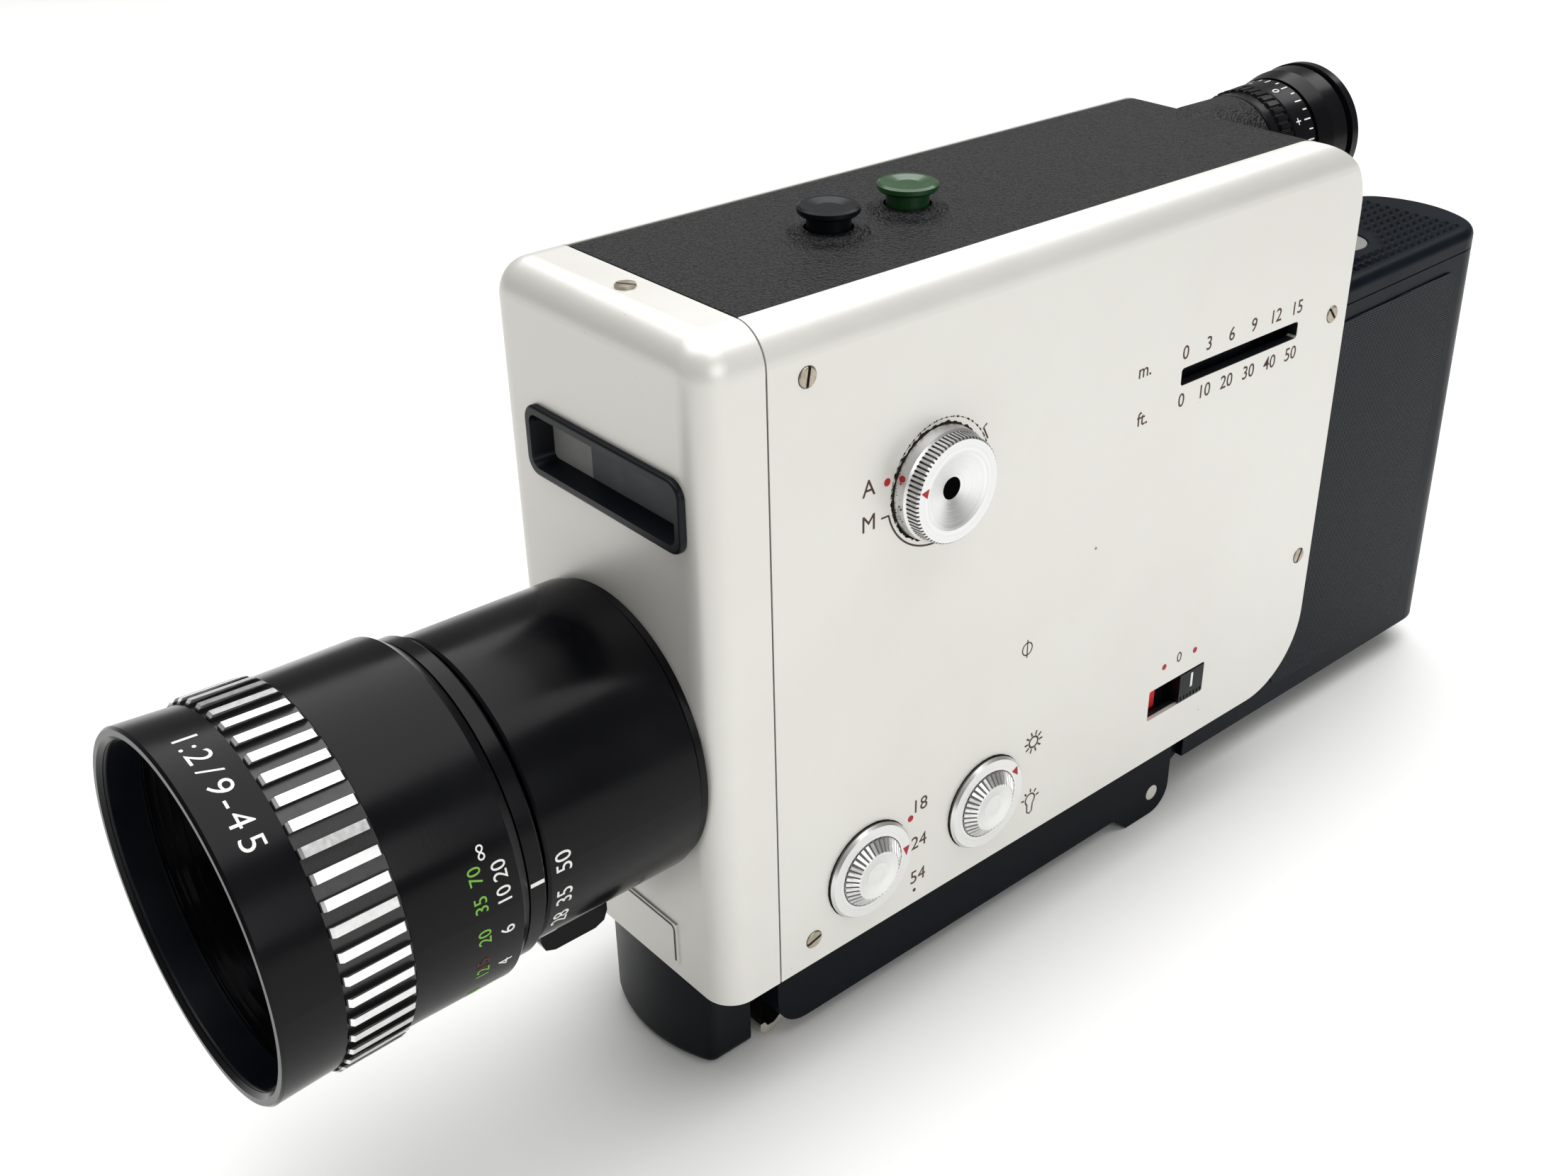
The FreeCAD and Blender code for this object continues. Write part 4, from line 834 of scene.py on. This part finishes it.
for group, offset in (("upper", 0), ("lower", -140)):
    figures("rim_figures_" + group,
            [(text, -math.radians(angle + offset) * RIM_R, RIM_ROW, 3.3)
             for text, angle in RIM_TEXT],
            on_rim, "white_ink", "focus_ring", "black_gloss", weight=-0.02)

# thread inside the rim, and the fine line of worn metal on its lip
THREAD_R, THREAD_DEPTH, THREAD_PITCH, THREAD_TURNS = 24.48, 0.36, 0.62, 8
THREAD_FRONT, THREAD_BACK, THREAD_WALL = -66.2, -61.1, 0.02
LIP_INNER, LIP_OUTER, LIP_FRONT, LIP_BACK = 25.9, 25.98, -66.99, -66.97
thread = []
for k in range(THREAD_TURNS):
    y = THREAD_FRONT + THREAD_PITCH * k
    thread += [(THREAD_R, y), (THREAD_R - THREAD_DEPTH, y + THREAD_PITCH / 2)]
thread += [(THREAD_R, THREAD_BACK), (THREAD_R + THREAD_WALL, THREAD_BACK),
           (THREAD_R + THREAD_WALL, THREAD_FRONT - 0.1)]
lathe("rim_thread", thread, "satin_black", "focus_ring", "black_gloss")
lathe("rim_wear", rectangle(LIP_INNER, LIP_OUTER, LIP_FRONT, LIP_BACK), "nickel",
      "focus_ring", "black_gloss")

# ---------------------------------------------------------------- front: window and badge

CELL_SHARE = 0.30       # part of the window's width that shows the meter cell
glass = limits("window_glass")
split_x = glass[0].x + CELL_SHARE * (glass[1].x - glass[0].x)


def on_glass(u, v, w):
    return (u, glass[0].y - 0.01 - w, v)


drawing("window_field", [rectangle(split_x, glass[1].x, glass[0].z, glass[1].z)], on_glass,
        "dim_grey", "body", "black_satin", 0.03)
drawing("window_cell", [rectangle(glass[0].x, split_x, glass[0].z, glass[1].z)], on_glass,
        "grey", "body", "black_satin", 0.03)

BADGE_MARGIN, BADGE_CORNER, BADGE_LINE = 0.55, 0.9, 0.42
plate = limits("badge_plate")
x0, x1 = -plate[1].x + BADGE_MARGIN, -plate[0].x - BADGE_MARGIN
z0, z1 = plate[0].z + BADGE_MARGIN, plate[1].z - BADGE_MARGIN


def on_badge(u, v, w):
    """Lays a drawing on the badge plate, u to -X and v up."""
    return (-u, plate[0].y - LIFT - w, v)


frame_line = ([(x0, z0)]
              + arc(x0 + BADGE_CORNER, z1 - BADGE_CORNER, BADGE_CORNER, 180, 90, 8)
              + arc(x1 - BADGE_CORNER, z1 - BADGE_CORNER, BADGE_CORNER, 90, 0, 8) + [(x1, z0)])
drawing("badge_frame", [stroke(frame_line, BADGE_LINE)], on_badge, "dark", "body", "black_satin",
        0.03)

# ---------------------------------------------------------------- eyepiece marks

EYE = centre("diopter_ring")
EYE_RING = limits("diopter_ring")
SCALE_REAR = EYE_RING[1].y
EYE_R = (EYE_RING[1].x - EYE_RING[0].x) / 2
EYE_SLOPE = 0.25 / 5.3      # the ring's cone
FIGURE_Y = SCALE_REAR - 3.6
TICK_Y = SCALE_REAR - 0.4


def round_eye(u, v, w):
    """Round the diopter ring: u is arc length up from the dials' side, v is y."""
    angle = u / EYE_R
    r = EYE_R + 0.01 + w + (v - SCALE_REAR) * EYE_SLOPE
    return (EYE.x + r * math.cos(angle), v, EYE.z + r * math.sin(angle))


ticks = []
for k in range(-6, 7):
    u = math.radians(52 + 10 * k) * EYE_R
    length = 1.0 if k % 2 else 1.7
    ticks.append(rectangle(u - 0.12, u + 0.12, TICK_Y - length, TICK_Y))
drawing("diopter_ticks", ticks, round_eye, "white_ink", "diopter", "black_gloss")
figures("diopter_figures",
        along((("0", 72),), EYE_R, FIGURE_Y, 1.6)
        + along((("+", 32), ("-", 104)), EYE_R, FIGURE_Y, 1.9),
        flipped(round_eye, FIGURE_Y), "white_ink", "diopter", "black_gloss")

# ---------------------------------------------------------------- button springs

SPRING_WIRE = 0.3
COIL_TURNS, COIL_STEPS, COIL_SIDES = 4, 28, 10


def coil_spring(name, node):
    """Round-wire helix in place of a CAD spring."""
    low, high = limits(node)
    hub = centre(node)
    radius = (high.x - low.x) / 2 - SPRING_WIRE
    rise = high.z - low.z - 2 * SPRING_WIRE
    rings = COIL_TURNS * COIL_STEPS
    points, faces = [], []
    for s in range(rings + 1):
        a = 2 * math.pi * s / COIL_STEPS
        z = low.z + SPRING_WIRE + rise * s / rings
        for k in range(COIL_SIDES):
            b = 2 * math.pi * k / COIL_SIDES
            r = radius + SPRING_WIRE * math.cos(b)
            points.append((hub.x + r * math.cos(a), hub.y + r * math.sin(a),
                           z + SPRING_WIRE * math.sin(b)))
    for s in range(rings):
        here, there = s * COIL_SIDES, (s + 1) * COIL_SIDES
        for k in range(COIL_SIDES):
            n = (k + 1) % COIL_SIDES
            faces.append((here + k, here + n, there + n, there + k))
    faces += [tuple(range(COIL_SIDES)), tuple(range(len(points) - COIL_SIDES, len(points)))]
    piece = from_lists(name, points, faces, "steel", "body", "steel", True)
    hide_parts(node)
    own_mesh(piece)


coil_spring("tele_coil", "tele_button_spring")
coil_spring("wide_coil", "wide_button_spring")

# ---------------------------------------------------------------- grip

CAP = limits("grip_end_cap")
CAP_SLOPE = 0.027
STUD_PITCH = 2.3
STUD_HEIGHT, STUD_FOOT, STUD_TOP = 0.62, 0.98, 0.32     # foot and top are half widths
STUD_START = 151.0
CAP_ROUND = 19.0            # radius of the cap's rear end, seen from above
STUD_MARGIN = 3.6
BUSH_CLEAR = 8.2
PANEL_X = 15.12
PANEL_START, PANEL_END, PANEL_LOW = 151.5, 198.6, 11.5
PANEL_BELOW_CAP = 7.4
PANEL_CORNER = 3.0


def cap_top(y):
    return CAP[1].z - CAP_SLOPE * (CAP[1].y - y)


def stud(x, y):
    """Small pyramid with a flat top on the end cap."""
    z = cap_top(y) - 0.06
    points = [(x + half * i, y + half * j, z + rise)
              for half, rise in ((STUD_FOOT, 0.0), (STUD_TOP, STUD_HEIGHT))
              for i, j in ((-1, -1), (1, -1), (1, 1), (-1, 1))]
    return points, [(3, 2, 1, 0), (0, 1, 5, 4), (1, 2, 6, 5), (2, 3, 7, 6), (3, 0, 4, 7),
                    (4, 5, 6, 7)]


studs = []
for i in range(-5, 6):
    x = i * STUD_PITCH
    last = CAP[1].y - STUD_MARGIN - (CAP_ROUND - math.sqrt(CAP_ROUND ** 2 - x * x))
    for j in range(0, 23):
        y = STUD_START + j * STUD_PITCH
        if y < last and math.hypot(x - BUSH.x, y - BUSH.y) > BUSH_CLEAR:
            studs.append(stud(x, y))
from_lists("cap_studs", *joined(studs), "shell", "handle", "grip_plastic")


def panel_outline(y0, y1, z0):
    """Rounded side panel whose top follows the slope of the cap."""
    top0, top1 = cap_top(y0) - PANEL_BELOW_CAP, cap_top(y1) - PANEL_BELOW_CAP
    outline = []
    for y, z, start in ((y0, z0, 180), (y1, z0, 270), (y1, top1, 0), (y0, top0, 90)):
        cy = y + PANEL_CORNER if start in (180, 90) else y - PANEL_CORNER
        cz = z + PANEL_CORNER if start in (180, 270) else z - PANEL_CORNER
        outline += arc(cy, cz, PANEL_CORNER, start, start + 90, 8)
    return outline


for name, way in (("grip_panel_left", 1), ("grip_panel_right", -1)):
    drawing(name, [panel_outline(PANEL_START, PANEL_END, PANEL_LOW)],
            lambda u, v, w, way=way: (way * (PANEL_X + w), u, v),
            "weave", "handle", "grip_plastic", 0.35)

# ---------------------------------------------------------------- camera, light, floor

# The photo's camera was solved in units of a hundredth of the body's height, from the side
# panel's foot; RIGHT and AHEAD are its directions.
UNIT = 1.08
PANEL_FOOT = limits("left_side_panel")[0].z
VIEW_FROM = at(169.0715 * UNIT, -109.1128 * UNIT, 173.8854 * UNIT + PANEL_FOOT)
RIGHT = Vector((0.663740, 0.747954, -0.003888))
AHEAD = Vector((-0.652218, 0.576223, -0.492523))
UP = RIGHT.cross(AHEAD)
lens = bpy.data.cameras.new("view")
lens.sensor_width = 36.0
lens.lens = 39.784
lens.shift_x = -0.03079
lens.shift_y = -0.00743
lens.clip_start = 0.01
viewer = bpy.data.objects.new("view", lens)
facing = Matrix((RIGHT, UP, -AHEAD)).transposed().to_4x4()
viewer.matrix_world = Matrix.Translation(VIEW_FROM) @ facing
bpy.context.scene.collection.objects.link(viewer)
bpy.context.scene.camera = viewer


def softbox(name, place_mm, aim_mm, width, height, power):
    """Rectangular area light; its sides are in metres and its power in watts."""
    data = bpy.data.lights.new(name, "AREA")
    data.shape = "RECTANGLE"
    data.size = width
    data.size_y = height
    data.energy = power
    light = bpy.data.objects.new(name, data)
    light.location = at(*place_mm)
    light.rotation_mode = "QUATERNION"
    light.rotation_quaternion = (at(*aim_mm) - light.location).to_track_quat("-Z", "Y")
    bpy.context.scene.collection.objects.link(light)


softbox("overhead", (-150, 250, 1100), (0, 70, 40), 1.7, 1.7, 27.0)
softbox("side_fill", (1100, 0, 450), (0, 50, 60), 0.8, 0.5, 3.4)
softbox("front_fill", (-300, -1100, 500), (0, 0, 60), 0.9, 0.6, 0.2)

AMBIENT = 0.27
world = bpy.data.worlds.new("studio")
bpy.context.scene.world = world
world.use_nodes = True
world.node_tree.nodes["Background"].inputs[0].default_value = (1.0, 0.99, 0.97, 1.0)
world.node_tree.nodes["Background"].inputs[1].default_value = AMBIENT

FLOOR_HALF = 6.0            # metres
FLOOR_Z = -0.0002
floor_mesh = bpy.data.meshes.new("floor")
floor_mesh.from_pydata([(x, y, FLOOR_Z) for x, y in rectangle(-FLOOR_HALF, FLOOR_HALF,
                                                              -FLOOR_HALF, FLOOR_HALF)],
                       [], [(0, 1, 2, 3)])
floor = bpy.data.objects.new("floor", floor_mesh)
floor_mesh.materials.append(surface("pale_floor", (0.91, 0.91, 0.90), (0.93, 0.93, 0.92),
                                    rough=0.55, patch=3.0))
bpy.context.scene.collection.objects.link(floor)

bpy.context.scene.view_settings.view_transform = "Standard"
